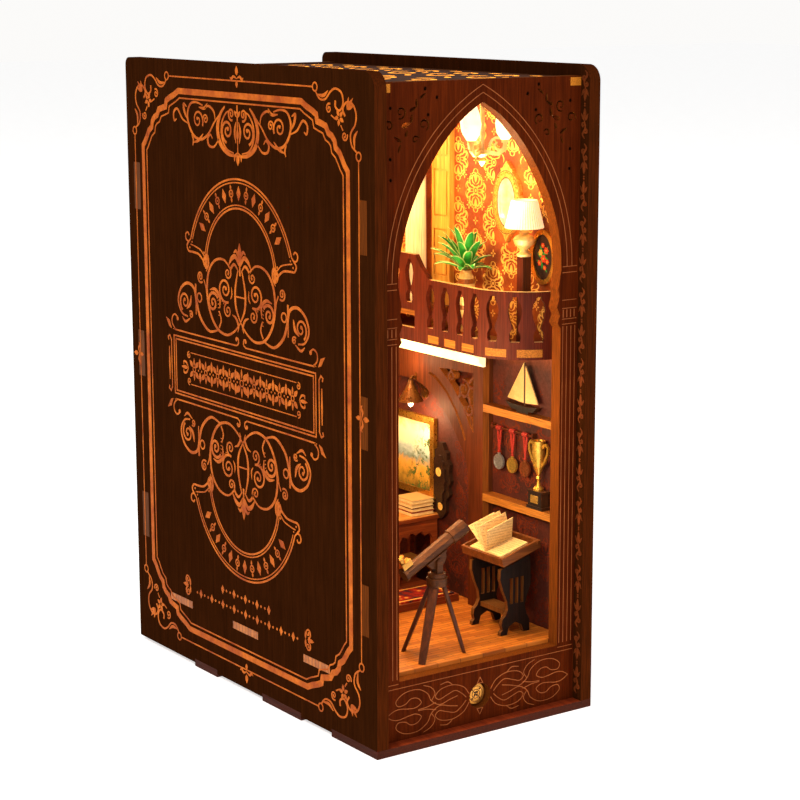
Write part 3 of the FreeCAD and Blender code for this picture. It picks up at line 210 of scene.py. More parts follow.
def metal(name, dark, light, rough=(0.22, 0.42), scale=900, bump=0.12, met=0.95):
    k = Mat(name)
    n = k.noise(scale, 5.0, 0.6, 0.4)
    s = k.noise(130, 3.0, 0.5, 0.2, (1.0, 2.0, 3.0))
    c = k.ramp(s, [(0.3, lin(dark)), (0.68, lin(light))])
    c = k.mix(0.35, c, k.ramp(n, [(0.35, (0.55, 0.5, 0.45, 1)), (0.6, (1.1, 1.1, 1.1, 1))]), "MULTIPLY")
    k.link(c, k.b.inputs["Base Color"])
    k.link(k.val(n, rough[1], rough[0]), k.b.inputs["Roughness"])
    k.set(Metallic=met, Specular_IOR_Level=0.5)
    k.bump(n, bump)
    return k.m


def paper(name, dark, light, scale=1400, rough=(0.65, 0.85), bump=0.2, glow=0.0, glow_col=None, spec=0.15):
    k = Mat(name)
    n = k.noise(scale, 4.0, 0.6)
    s = k.noise(95, 3.0, 0.5, 0.3, (0.7, 0.1, 0.3))
    c = k.ramp(s, [(0.3, lin(dark)), (0.7, lin(light))])
    c = k.mix(0.3, c, k.ramp(n, [(0.35, (0.72, 0.7, 0.66, 1)), (0.6, (1.08, 1.08, 1.08, 1))]), "MULTIPLY")
    k.link(c, k.b.inputs["Base Color"])
    k.link(k.val(n, rough[1], rough[0]), k.b.inputs["Roughness"])
    k.bump(n, bump)
    k.set(Specular_IOR_Level=spec)
    if glow:
        if glow_col:
            k.b.inputs["Emission Color"].default_value = lin(glow_col)
        else:
            k.link(c, k.b.inputs["Emission Color"])
        k.set(Emission_Strength=glow)
    return k.m


def give(mat, *names):
    for n in names:
        o = NODES[n]
        o.data.materials.clear()
        o.data.materials.append(mat)


# ------------------------------------------------------------------ mesh helpers
def add_mesh(name, verts, faces, mat, body="case", smooth=False, idx=None, extra=()):
    me = bpy.data.meshes.new(name)
    me.from_pydata([tuple(v) for v in verts], [], faces)
    me.materials.append(mat)
    for m in extra:
        me.materials.append(m)
    if idx:
        for p, i in zip(me.polygons, idx):
            p.material_index = i
    bm = bmesh.new()
    bm.from_mesh(me)
    bmesh.ops.recalc_face_normals(bm, faces=bm.faces)
    bm.to_mesh(me)
    bm.free()
    if smooth:
        for p in me.polygons:
            p.use_smooth = True
    o = bpy.data.objects.new(name, me)
    scene.collection.objects.link(o)
    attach(o, body)
    return o


def catmull(pts, n=6, closed=False):
    if len(pts) < 3 or n <= 1:
        return [tuple(p) for p in pts]
    out = []
    m = len(pts)
    last = m if closed else m - 1
    for i in range(last):
        p1, p2 = pts[i], pts[(i + 1) % m]
        p0 = pts[i - 1] if (i > 0 or closed) else (2 * p1[0] - p2[0], 2 * p1[1] - p2[1])
        p3 = pts[(i + 2) % m] if (i + 2 < m or closed) else (2 * p2[0] - p1[0], 2 * p2[1] - p1[1])
        for k in range(n):
            t = k / n
            a, b = t * t, t * t * t
            out.append(tuple(0.5 * (2 * p1[j] + (p2[j] - p0[j]) * t + (2 * p0[j] - 5 * p1[j] + 4 * p2[j] - p3[j]) * a
                                    + (3 * p1[j] - p0[j] - 3 * p2[j] + p3[j]) * b) for j in (0, 1)))
    if not closed:
        out.append(tuple(pts[-1]))
    return out


class Ink:
    """Thin raised line work on a flat face, drawn in two coordinates (mm)."""

    def __init__(self):
        self.s = []

    def line(self, pts, w, w1=None, smooth=0, closed=False):
        p = catmull(pts, smooth, closed) if smooth else [tuple(q) for q in pts]
        n = len(p)
        w1 = w if w1 is None else w1
        self.s.append((p, [w + (w1 - w) * i / max(1, n - 1) for i in range(n)], closed))
        return p

    def swell(self, pts, w, smooth=6, lo=0.25, peak=0.5):
        """A stroke that is thin at its ends and wide in the middle."""
        p = catmull(pts, smooth)
        n = len(p)
        ws = []
        for i in range(n):
            t = i / (n - 1)
            u = t / peak * 0.5 if t < peak else 0.5 + (t - peak) / (1 - peak) * 0.5
            ws.append(w * (lo + (1 - lo) * math.sin(math.pi * u)))
        self.s.append((p, ws, False))

    def spiral(self, cx, cy, r0, r1, a0, turns, w0, w1, ball=0.0):
        n = max(10, int(abs(turns) * 20))
        p = []
        for i in range(n + 1):
            t = i / n
            r = r0 + (r1 - r0) * (t ** 0.85)
            a = math.radians(a0) + turns * 2 * math.pi * t
            p.append((cx + r * math.cos(a), cy + r * math.sin(a)))
        self.s.append((p, [w0 + (w1 - w0) * i / n for i in range(n + 1)], False))
        if ball:
            self.dot(p[-1][0], p[-1][1], ball)
        return p

    def ring(self, cx, cy, r, w, ry=None, n=28):
        ry = ry or r
        p = [(cx + r * math.cos(2 * math.pi * i / n), cy + ry * math.sin(2 * math.pi * i / n)) for i in range(n)]
        self.s.append((p, [w] * n, True))

    def dot(self, cx, cy, r, n=10):
        self.s.append(([(cx + r * math.cos(2 * math.pi * i / n), cy + r * math.sin(2 * math.pi * i / n)) for i in range(n)], None, True))

    def poly(self, pts):
        self.s.append(([tuple(p) for p in pts], None, True))

    def leaf(self, x, y, ang, long, wide, bend=0.0):
        """Pointed leaf from its foot outward, as a filled shape."""
        a = math.radians(ang)
        up, side = (math.cos(a), math.sin(a)), (-math.sin(a), math.cos(a))
        l, r = [], []
        for i in range(9):
            t = i / 8
            w = wide * 0.5 * math.sin(math.pi * t) ** 0.8 * (1.15 - 0.5 * t)
            c = bend * t * t * long
            bx, by = x + up[0] * long * t + side[0] * c, y + up[1] * long * t + side[1] * c
            l.append((bx + side[0] * w, by + side[1] * w))
            r.append((bx - side[0] * w, by - side[1] * w))
        self.s.append((l + r[-2:0:-1], None, True))

    def take(self, other, fn):
        for p, w, c in other.s:
            self.s.append(([fn(*q) for q in p], list(w) if w else None, c))

    def once(self):
        """Drops strokes that a mirror image repeats exactly."""
        seen, out = set(), []
        for p, w, c in self.s:
            key = frozenset((round(a, 3) + 0.0, round(b, 3) + 0.0) for a, b in p)
            if key not in seen:
                seen.add(key)
                out.append((p, w, c))
        self.s = out
        return self

    def four(self):
        """The strokes and their mirror images in both axes."""
        out = Ink()
        for fx in (1, -1):
            for fy in (1, -1):
                out.take(self, lambda a, b, fx=fx, fy=fy: (fx * a, fy * b))
        return out.once()

    def two(self):
        out = Ink()
        for fx in (1, -1):
            out.take(self, lambda a, b, fx=fx: (fx * a, b))
        return out.once()

    def build(self, name, place, mat, high=0.12, sink=0.06, body="case", slot=None):
        vs, fs = [], []
        top = high
        for num, (p, w, closed) in enumerate(self.once().s):
            high = top + 0.006 * (num % 7)  # crossing strokes never share a plane
            if w is None:
                n = len(p)
                area = sum(p[i][0] * p[(i + 1) % n][1] - p[(i + 1) % n][0] * p[i][1] for i in range(n))
                if area < 0:
                    p = p[::-1]
                k = len(vs)
                vs += [place(a, b, -sink) for a, b in p] + [place(a, b, high) for a, b in p]
                fs.append(list(range(k, k + n))[::-1])
                fs.append(list(range(k + n, k + 2 * n)))
                for i in range(n):
                    j = (i + 1) % n
                    fs.append([k + i, k + j, k + n + j, k + n + i])
                continue
            q, ww = [p[0]], [w[0]]
            for a, b in zip(p[1:], w[1:]):
                if abs(a[0] - q[-1][0]) + abs(a[1] - q[-1][1]) > 1e-4:
                    q.append(a)
                    ww.append(b)
            n = len(q)
            if n < 2:
                continue
            k = len(vs)
            for i in range(n):
                a = q[i - 1] if (i > 0 or closed) else q[i]
                c = q[(i + 1) % n] if (i < n - 1 or closed) else q[i]
                d1 = Vector((q[i][0] - a[0], q[i][1] - a[1]))
                d2 = Vector((c[0] - q[i][0], c[1] - q[i][1]))
                d1 = d1.normalized() if d1.length > 1e-9 else d2.normalized()
                d2 = d2.normalized() if d2.length > 1e-9 else d1
                t = (d1 + d2)
                t = t.normalized() if t.length > 1e-6 else d1
                nrm = Vector((-t.y, t.x))
                cosh = max(0.45, t.dot(d1))
                h = ww[i] * 0.5 / cosh
                x, y = q[i]
                for s, z in ((1, -sink), (1, high), (-1, high), (-1, -sink)):
                    vs.append(place(x + nrm.x * h * s, y + nrm.y * h * s, z))
            segs = n if closed else n - 1
            for i in range(segs):
                a, b = k + 4 * i, k + 4 * ((i + 1) % n)
                for e in range(4):
                    f = (e + 1) % 4
                    fs.append([a + e, a + f, b + f, b + e])
            if not closed:
                fs.append([k, k + 1, k + 2, k + 3])
                e = k + 4 * (n - 1)
                fs.append([e + 3, e + 2, e + 1, e])
        return add_mesh(name, [Vector(v) * MM for v in vs], fs, mat, body)


def boxes(name, list_, mat, body="case", bevel=0.0):
    """Closed blocks (x0,x1,y0,y1,z0,z1 in mm) in one object."""
    vs, fs = [], []
    for x0, x1, y0, y1, z0, z1 in list_:
        k = len(vs)
        vs += [Vector(v) * MM for v in ((x0, y0, z0), (x1, y0, z0), (x1, y1, z0), (x0, y1, z0), (x0, y0, z1), (x1, y0, z1), (x1, y1, z1), (x0, y1, z1))]
        fs += [[k + a for a in f] for f in ((0, 1, 2, 3), (4, 5, 6, 7), (0, 1, 5, 4), (1, 2, 6, 5), (2, 3, 7, 6), (3, 0, 4, 7))]
    o = add_mesh(name, vs, fs, mat, body)
    if bevel:
        m = o.modifiers.new("edge", "BEVEL")
        m.width = bevel * MM
        m.segments = 2
    return o


# ------------------------------------------------------------------ materials
M = {}
M["cover"] = board("cover_board", (40, 17, 4), (56, 25, 7), edge=(74, 30, 8), face="X", grain="Z", rough=(0.6, 0.75), bump=0.1, spec=0.0, blotch=0.18)
M["frame"] = board("frame_board", (58, 18, 3), (94, 34, 7), edge=(112, 54, 14), face="Y", grain="Z", rough=(0.55, 0.7), bump=0.18, spec=0.01)
M["base"] = board("base_board", (92, 30, 10), (132, 50, 18), edge=(74, 26, 9), face="Z", grain="Y", spec=0.08)
M["back"] = board("back_board", (48, 22, 10), (72, 35, 17), edge=(112, 60, 24), face="Y", grain="Z", spec=0.08)
M["red"] = board("red_board", (62, 24, 7), (98, 42, 13), edge=(150, 80, 28), face="X", grain="Z", spec=0.08)
# the table's horizontal faces, mostly its top, get the lighter edge tone: painted top light
M["table"] = board("table_board", (94, 36, 12), (150, 68, 24), edge=(204, 128, 56), edge_axis="Z", grain="X", spec=0.14)
M["dais"] = board("dais_board", (92, 34, 12), (140, 60, 22), grain="X", spec=0.12)
M["rail"] = board("rail_board", (62, 18, 6), (98, 34, 11), edge=(246, 196, 120), edge_axis="Z", grain="Z", spec=0.12)
# roof: bright edge tone and glow on the filigree's cut walls, painted light from the lamps below
M["roof"] = board("roof_board", (58, 28, 11), (92, 48, 19), edge=(214, 128, 36), face="Z", grain="Y", spec=0.06, painted_edge_light=1.6)
M["dark"] = board("dark_board", (54, 18, 7), (86, 30, 11), edge=(92, 42, 15), face="X", grain="Z", spec=0.1)
M["relief"] = board("relief_board", (80, 34, 12), (120, 56, 21), grain="Z", spec=0.06)
# cut edges of shelves and gallery floors: partly the ply's own lighter tone, partly painted light on the front edges
M["shelf"] = board("shelf_board", (104, 52, 14), (146, 82, 24), edge=(176, 106, 36), face="Z", grain="Y", spec=0.12)
M["walnut"] = board("walnut_part", (84, 40, 14), (138, 74, 28), grain="X", rough=(0.38, 0.55), spec=0.2)
M["leg"] = board("leg_wood", (56, 24, 8), (94, 44, 15), grain="Z", rough=(0.38, 0.55), spec=0.2)
M["black"] = board("black_card", (22, 11, 5), (40, 20, 9), edge=(118, 66, 22), face="Y", grain="Z", spec=0.15)
M["ebony"] = board("ebony_card", (20, 10, 5), (38, 19, 9), edge=(84, 44, 16), face="X", grain="Z", spec=0.2)
# the cornice card glows by itself: painted light
M["white"] = paper("white_card", (240, 214, 160), (255, 238, 196), glow=0.8, glow_col=(255, 232, 176))
# the pilaster and the column glow faintly: painted light
M["cream"] = board("cream_card", (196, 126, 40), (232, 172, 72), grain="Z", blotch=0.2, spec=0.15, glow=0.1)
M["column"] = board("column_paint", (236, 200, 132), (252, 228, 172), grain="Z", blotch=0.1, spec=0.15, glow=0.3)
M["gilt"] = metal("gilt_card", (176, 112, 34), (228, 164, 66), met=0.85)
M["brass"] = metal("brass_part", (168, 110, 42), (220, 160, 78))
M["gold"] = metal("gold_card", (196, 132, 34), (240, 190, 84), met=0.85)
M["silver"] = metal("silver_card", (150, 146, 140), (206, 202, 196), met=0.9)
M["bronze"] = metal("bronze_card", (140, 72, 36), (186, 104, 58), met=0.85)
M["copper"] = metal("foil_line", (160, 66, 8), (212, 108, 18), rough=(0.5, 0.65), scale=500, bump=0.06, met=0.2)
M["copper"].node_tree.nodes["Principled BSDF"].inputs["Specular IOR Level"].default_value = 0.12
M["etch"] = paper("etched_line", (122, 60, 26), (156, 84, 38), scale=900, glow=0.0)
M["cell"] = metal("cell_metal", (80, 82, 84), (128, 130, 132), met=0.7)
M["shade"] = paper("lamp_paper", (232, 204, 142), (246, 224, 170), glow=0.3)
M["pleat"] = paper("pleat_paper", (250, 230, 180), (255, 240, 204), glow=0.42)
M["glass_shade"] = paper("shade_glow", (255, 232, 176), (255, 244, 210), glow=1.3)
# near-black stars that stand for piercings through the frame: painted shade
M["void"] = paper("painted_shade_star", (5, 3, 2), (12, 6, 3), scale=900, rough=(0.85, 0.95), spec=0.0)
M["bulb"] = paper("bulb_glow", (255, 236, 190), (255, 246, 220), glow=5.0)
M["sail"] = paper("sail_paper", (168, 128, 76), (200, 160, 102))
M["page"] = paper("page_paper", (214, 170, 104), (236, 200, 140), scale=2200)
M["leafgreen"] = paper("leaf_paper", (16, 112, 36), (62, 172, 64), scale=700, rough=(0.45, 0.6), spec=0.3)
M["leafedge"] = paper("leaf_edge", (166, 190, 104), (206, 216, 140), scale=700, rough=(0.5, 0.6))
M["plastic"] = paper("electric_plastic", (26, 26, 28), (40, 40, 42), scale=2600, rough=(0.35, 0.5), bump=0.1, spec=0.4)
M["damask_line"] = paper("damask_line", (222, 156, 60), (244, 190, 92), scale=900)
M["damask_red"] = paper("damask_red", (72, 22, 7), (98, 34, 11), scale=900)
M["bookred"] = paper("book_binding", (104, 30, 14), (156, 58, 28), scale=1200, rough=(0.4, 0.6), spec=0.3)
M["plaque"] = metal("plaque_gold", (190, 130, 44), (240, 190, 96), met=0.8)


def damask():
    """Warm patterned paper, deep orange with lighter flock blotches."""
    k = Mat("damask_paper")
    n = k.noise(900, 4.0, 0.6)
    s = k.noise(70, 4.0, 0.55, 0.8)
    c = k.ramp(s, [(0.3, lin((112, 44, 10))), (0.55, lin((152, 66, 14))), (0.75, lin((180, 92, 24)))])
    c = k.mix(0.35, c, k.ramp(n, [(0.35, (0.6, 0.55, 0.5, 1)), (0.62, (1.1, 1.1, 1.1, 1))]), "MULTIPLY")
    zz = k.val(k.axis("Z"), 0.0, 1.0, 0.128, 0.142)
    low = k.mix(0.5, k.ramp(s, [(0.3, lin((44, 12, 5))), (0.7, lin((76, 24, 9)))]),
                k.ramp(n, [(0.35, (0.6, 0.55, 0.5, 1)), (0.62, (1.1, 1.1, 1.1, 1))]), "MULTIPLY")
    c = k.mix(zz, low, c)
    k.link(c, k.b.inputs["Base Color"])
    k.link(k.val(n, 0.75, 0.55), k.b.inputs["Roughness"])
    k.bump(n, 0.2)
    return k.m


def parquet():
    """Narrow boards in a herringbone-like brick lay, each with its own tone."""
    k = Mat("parquet")
    br = k.new("ShaderNodeTexBrick")
    br.offset = 0.5
    br.inputs["Scale"].default_value = 1.0
    br.inputs["Mortar Size"].default_value = 0.00014
    br.inputs["Brick Width"].default_value = 0.0105
    br.inputs["Row Height"].default_value = 0.0022
    br.inputs["Color1"].default_value = lin((196, 112, 36))
    br.inputs["Color2"].default_value = lin((158, 82, 24))
    br.inputs["Mortar"].default_value = lin((104, 50, 16))
    k.link(k.co, br.inputs["Vector"])
    g = k.noise(GRAIN["X"], 5.0, 0.6, 0.5)
    f = k.noise(FIBRE["X"], 3.0, 0.5)
    c = k.mix(0.6, br.outputs["Color"], k.ramp(g, [(0.3, (0.55, 0.5, 0.45, 1)), (0.65, (1.15, 1.12, 1.1, 1))]), "MULTIPLY")
    k.link(c, k.b.inputs["Base Color"])
    k.link(k.val(f, 0.5, 0.32), k.b.inputs["Roughness"])
    k.bump(br.outputs["Fac"], 0.3)
    return k.m


M["damask"] = damask()
M["parquet"] = parquet()


def medal(name, base):
    """Ribbon red above, struck metal below."""
    k = Mat(name)
    n = k.noise(1600, 4.0, 0.6)
    weave = k.noise((2500, 2500, 6000), 2.0, 0.5)
    z = k.axis("Z")
    m = k.math("LESS_THAN", z, 0.0927)
    rib = k.ramp(weave, [(0.35, lin((96, 16, 10))), (0.65, lin((150, 34, 20)))])
    mc = k.ramp(n, [(0.3, lin(tuple(v * 0.72 for v in base))), (0.7, lin(base))])
    k.link(k.mix(m, rib, mc), k.b.inputs["Base Color"])
    k.link(k.math("MULTIPLY", m, 0.85), k.b.inputs["Metallic"])
    k.link(k.val(m, 0.7, 0.32, 0.0, 1.0), k.b.inputs["Roughness"])
    k.bump(n, 0.15)
    return k.m


def mirror_mat():
    """Gilt carved rim with silvered glass inside the oval."""
    k = Mat("mirror_gilt")
    n = k.noise(900, 5.0, 0.6, 0.4)
    sep = k.new("ShaderNodeSeparateXYZ")
    k.link(k.co, sep.inputs[0])
    dy = k.math("DIVIDE", k.math("ADD", sep.outputs[1], 0.0436), 0.0053)
    dz = k.math("DIVIDE", k.math("SUBTRACT", sep.outputs[2], 0.1915), 0.0093)
    r = k.math("ADD", k.math("MULTIPLY", dy, dy), k.math("MULTIPLY", dz, dz))
    m = k.math("LESS_THAN", r, 1.0)
    gold = k.ramp(n, [(0.3, lin((176, 112, 34))), (0.7, lin((240, 188, 92)))])
    gl = k.ramp(k.noise(300, 3.0, 0.5), [(0.35, lin((226, 206, 168))), (0.65, lin((250, 238, 214)))])
    k.link(k.mix(m, gold, gl), k.b.inputs["Base Color"])
    k.link(k.val(m, 0.42, 0.1, 0.0, 1.0), k.b.inputs["Roughness"])
    k.set(Metallic=0.6)
    k.bump(n, 0.1)
    return k.m


def clock_mat():
    k = Mat("clock_card")
    n = k.noise(1500, 4.0, 0.6)
    x = k.axis("X")
    sep = k.new("ShaderNodeSeparateXYZ")
    k.link(k.co, sep.inputs[0])

    def disc(cy, cz, r):
        dy = k.math("SUBTRACT", sep.outputs[1], cy)
        dz = k.math("SUBTRACT", sep.outputs[2], cz)
        q = k.math("ADD", k.math("MULTIPLY", dy, dy), k.math("MULTIPLY", dz, dz))
        return k.math("LESS_THAN", q, r * r)
    m = k.math("MAXIMUM", disc(-0.0015, 0.0774, 0.00185), disc(-0.002, 0.0629, 0.00165))
    front = k.math("LESS_THAN", x, 0.0419)
    m = k.math("MULTIPLY", m, front)
    dark = k.ramp(n, [(0.3, lin((24, 12, 7))), (0.7, lin((52, 27, 13)))])
    gold = k.ramp(n, [(0.3, lin((186, 128, 46))), (0.7, lin((236, 190, 100)))])
    k.link(k.mix(m, dark, gold), k.b.inputs["Base Color"])
    k.link(k.val(n, 0.55, 0.35), k.b.inputs["Roughness"])
    k.bump(n, 0.2)
    return k.m


def landscape():
    """A quiet landscape of the builder's own: warm sky, blue hills, gold field, dark trees."""
    k = Mat("landscape_print")
    sep = k.new("ShaderNodeSeparateXYZ")
    k.link(k.co, sep.inputs[0])
    z = sep.outputs[2]
    wob = k.noise((1, 160, 160), 5.0, 0.6, 1.0)
    zz = k.math("ADD", z, k.math("MULTIPLY", k.math("SUBTRACT", wob, 0.5), 0.012))
    t = k.val(zz, 0.0, 1.0, 0.0675, 0.0957)
    c = k.ramp(t, [(0.0, lin((96, 74, 26))), (0.2, lin((186, 134, 44))), (0.34, lin((222, 150, 62))), (0.44, lin((120, 132, 120))),
                   (0.56, lin((176, 182, 170))), (0.7, lin((240, 222, 168))), (0.86, lin((250, 232, 176))), (1.0, lin((226, 190, 120)))])
    n2 = k.noise((1, 420, 420), 5.0, 0.65, 0.6, (0.4, 0.2, 0.7))
    y = sep.outputs[1]
    tree = k.math("MULTIPLY", k.math("GREATER_THAN", n2, 0.54), k.val(k.math("ADD", k.math("MULTIPLY", y, -1.0), k.math("MULTIPLY", z, -0.6)), 0.0, 1.0, -0.072, -0.062))
    c = k.mix(tree, c, lin((70, 84, 34)))
    k.link(c, k.b.inputs["Base Color"])
    k.set(Roughness=0.55)
    # the print glows faintly by itself: painted light
    k.link(c, k.b.inputs["Emission Color"])
    k.set(Emission_Strength=0.12)
    k.bump(n2, 0.15)
    return k.m


def stack_mat():
    """Books lying flat: pale page blocks between reddish and ivory boards, told apart by height."""
    k = Mat("stacked_books")
    n = k.noise((500, 500, 7000), 3.0, 0.6)
    f = k.math("FRACT", k.math("DIVIDE", k.math("SUBTRACT", k.axis("Z"), 0.059), 0.00165))
    board_ = k.math("MAXIMUM", k.math("LESS_THAN", f, 0.16), k.math("GREATER_THAN", f, 0.83))
    which = k.noise((1, 1, 420), 0.0, 0.5, 0.0, (0.0, 0.0, 0.13))
    cov = k.ramp(which, [(0.42, lin((120, 40, 18))), (0.5, lin((206, 160, 98))), (0.62, lin((92, 46, 20)))])
    pg = k.ramp(n, [(0.3, lin((196, 150, 88))), (0.65, lin((240, 210, 150)))])
    k.link(k.mix(board_, pg, cov), k.b.inputs["Base Color"])
    k.set(Roughness=0.75, Specular_IOR_Level=0.15)
    k.bump(n, 0.3)
    return k.m


give(M["cover"], "left_cover", "right_cover")
give(M["frame"], "front_frame")
give(M["base"], "base_board")
give(M["back"], "back_board", "battery_door")
give(M["roof"], "roof_board")
give(M["parquet"], "lower_floor")
give(M["damask"], "left_wall_lining", "right_wall_lining")
give(M["red"], "arcade_board")
give(M["dais"], "dais")
give(M["table"], "side_table")
give(M["rail"], "gallery_rail", "landing_rail")
give(M["dark"], "bookcase_side", "lamp_post", "medal_rail")
give(M["ebony"], "boat_hull")
give(M["shelf"], "upper_shelf", "lower_shelf", "gallery_floor", "landing")
give(M["white"], "cornice")
give(M["cream"], "pilaster")
give(M["column"], "column")
def vase_mat():
    """Cream and brown bands with a gilt lustre."""
    k = Mat("banded_vase")
    n = k.noise(1200, 4.0, 0.6)
    f = k.math("FRACT", k.math("DIVIDE", k.math("SUBTRACT", k.axis("Z"), 0.138), 0.0052))
    m = k.math("LESS_THAN", f, 0.36)
    a = k.ramp(n, [(0.3, lin((226, 182, 96))), (0.7, lin((250, 220, 148)))])
    b = k.ramp(n, [(0.3, lin((110, 56, 20))), (0.7, lin((164, 92, 36)))])
    k.link(k.mix(m, a, b), k.b.inputs["Base Color"])
    k.link(k.val(n, 0.5, 0.32), k.b.inputs["Roughness"])
    k.set(Metallic=0.25, Specular_IOR_Level=0.4)
    k.bump(n, 0.1)
    return k.m


give(vase_mat(), "leaf_vase")
give(M["gilt"], "flower_picture_frame", "landscape_frame")
give(metal("lamp_gilt", (206, 158, 74), (250, 218, 142), met=0.5, rough=(0.34, 0.5)), "lamp_base", "chandelier_frame")
give(metal("lamp_bronze", (62, 32, 12), (124, 74, 28), met=0.7), "wall_lamp")
give(board("tube_wood", (56, 27, 9), (108, 58, 22), grain="X", rough=(0.4, 0.55), spec=0.15), "telescope_tube", "telescope_saddle", "telescope_fork", "tripod_head")
give(mirror_mat(), "mirror")
give(M["shade"], "lamp_shade")
give(M["glass_shade"], "chandelier_shades")
give(M["bulb"], "wall_lamp_bulb")
give(M["sail"], "boat_sails")
give(medal("silver_card", (206, 202, 196)), "silver_medal")
give(medal("gold_card", (240, 190, 84)), "gold_medal")
give(medal("bronze_card", (190, 108, 62)), "bronze_medal")
give(M["ebony"], "cup_plinth")
give(M["gold"], "trophy_cup")
give(paper("flower_ground", (40, 22, 12), (70, 38, 18)), "flower_picture")
give(landscape(), "landscape_picture")
give(M["leafgreen"], "leaf_spray")
give(M["brass"], "telescope_eyepiece", "touch_button")
give(clock_mat(), "carved_clock")
give(stack_mat(), "book_stack")
def ruled():
    """Cream pages with faint ruled bars, upright ones along their height, flat ones along their width."""
    k = Mat("ruled_pages")
    n = k.noise(2200, 4.0, 0.6)
    up_ = k.math("LESS_THAN", k.normal("Z"), 0.75)
    bars_u = k.math("LESS_THAN", k.math("FRACT", k.math("DIVIDE", k.axis("Z"), 0.00125)), 0.3)
    bars_f = k.math("LESS_THAN", k.math("FRACT", k.math("DIVIDE", k.axis("X"), 0.0013)), 0.3)
    gap = k.math("GREATER_THAN", k.noise((700, 700, 700), 1.0, 0.5), 0.42)
    bars = k.math("MULTIPLY", k.math("ADD", k.math("MULTIPLY", up_, bars_u), k.math("MULTIPLY", k.math("SUBTRACT", 1.0, up_), bars_f)), gap)
    pg = k.ramp(n, [(0.3, lin((206, 160, 92))), (0.65, lin((238, 202, 138)))])
    k.link(k.mix(k.math("MULTIPLY", bars, 0.45), pg, lin((150, 96, 44))), k.b.inputs["Base Color"])
    k.set(Roughness=0.75, Specular_IOR_Level=0.15)
    k.bump(n, 0.2)
    return k.m


give(ruled(), "open_book")
give(M["walnut"], "desk_tray")
give(M["leg"], "tripod_legs")
give(M["black"], "desk_stand")
give(M["plastic"], "switch", "battery_tray")
give(M["cell"], "battery_cells")

# ------------------------------------------------------------------ cover artwork
art = Ink()
q = Ink()  # one quarter: a to the edge, b up from the middle
FL, MD = 0.55, 0.75
# outer line, broken by the corner flourish
q.line([(0, 114.6), (52.0, 114.6)], FL)
q.ring(53.5, 114.6, 1.5, 0.6)
q.line([(80.8, 0), (80.8, 90.2)], FL)
q.ring(80.8, 91.8, 1.5, 0.6)
q.line([(53.8, 113.2), (56.5, 110.6), (60.2, 110.6), (63.4, 113.2), (66.6, 114.5), (70.4, 113.2), (71.4, 109.6), (69.2, 107.0), (66.6, 108.2), (66.6, 110.4)], 0.7, 0.9, 5)
q.line([(79.6, 93.2), (76.6, 95.4), (76.0, 99.4), (78.8, 102.6), (79.4, 106.4), (77.2, 109.6), (73.4, 110.0), (71.2, 107.6), (72.6, 105.2)], 0.7, 0.9, 5)
q.swell([(55.0, 112.0), (59.0, 111.8), (62.0, 113.6)], 1.3)
q.swell([(78.4, 94.2), (78.2, 98.0), (80.2, 100.6)], 1.3)
for a in range(5):
    ang = 45 + a * 72
    q.leaf(68.9 + 0.5 * math.cos(math.radians(ang)), 104.6 + 0.5 * math.sin(math.radians(ang)), ang, 2.6, 1.7)
for a, l in ((20, 4.6), (48, 5.6), (76, 4.6)):
    q.leaf(73.8, 107.6, a, l, 1.5)
q.spiral(62.4, 107.4, 1.9, 0.4, 60, 1.3, 0.7, 0.5, 0.45)
q.spiral(72.2, 98.4, 1.9, 0.4, 20, -1.3, 0.7, 0.5, 0.45)
q.line([(66.4, 104.0), (63.8, 105.2)], 0.55)
q.line([(69.8, 102.0), (71.2, 100.2)], 0.55)
# heavy line with the stepped corner, and the fine line inside it
corner = [(44.5, 109.1), (47.6, 107.6), (51.6, 106.2), (54.2, 105.0), (54.8, 102.6), (57.6, 102.0), (60.4, 101.2), (61.9, 98.9), (64.2, 98.0),
          (65.9, 96.3), (66.5, 94.0), (69.0, 92.4), (70.6, 90.2), (72.2, 88.0), (74.1, 86.2)]
q.line([(0, 109.1)] + corner + [(74.1, 0)], 2.35)
inner = [(43.6, 106.4), (46.6, 104.9), (50.0, 103.6), (51.9, 102.8), (52.6, 100.2), (55.6, 99.3), (58.4, 98.6), (60.0, 96.4), (62.2, 95.5),
         (63.4, 94.4), (64.0, 92.0), (66.4, 90.5), (68.0, 88.4), (69.4, 86.4), (71.1, 84.6)]
q.line([(0, 106.4)] + inner + [(71.1, 0)], 0.6)
# frame round the title
q.line([(0, 11.8), (52.2, 11.8), (52.2, 0)], 0.62)
q.line([(0, 10.5), (50.7, 10.5), (50.7, 0)], 0.62)
q.line([(3.4, 14.2), (48.0, 14.2), (51.2, 14.7), (53.4, 16.6), (53.2, 19.2), (51.0, 20.4), (48.9, 19.4)], 0.6, 0.7, 5)
q.dot(49.0, 18.9, 0.85)
q.line([(3.4, 14.2), (1.9, 15.2), (2.1, 17.0), (3.6, 17.3)], 0.6, 0.7, 5)
q.dot(3.4, 16.6, 0.75)
q.line([(54.4, 0), (54.4, 9.6), (55.6, 11.4), (57.0, 10.6), (56.6, 9.3)], 0.6, 0.7, 0)
q.line([(56.2, 0), (56.2, 6.8)], 1.1, 0.5)
q.poly([(53.9, 14.2), (56.0, 15.0), (58.6, 18.6), (55.6, 17.6)])
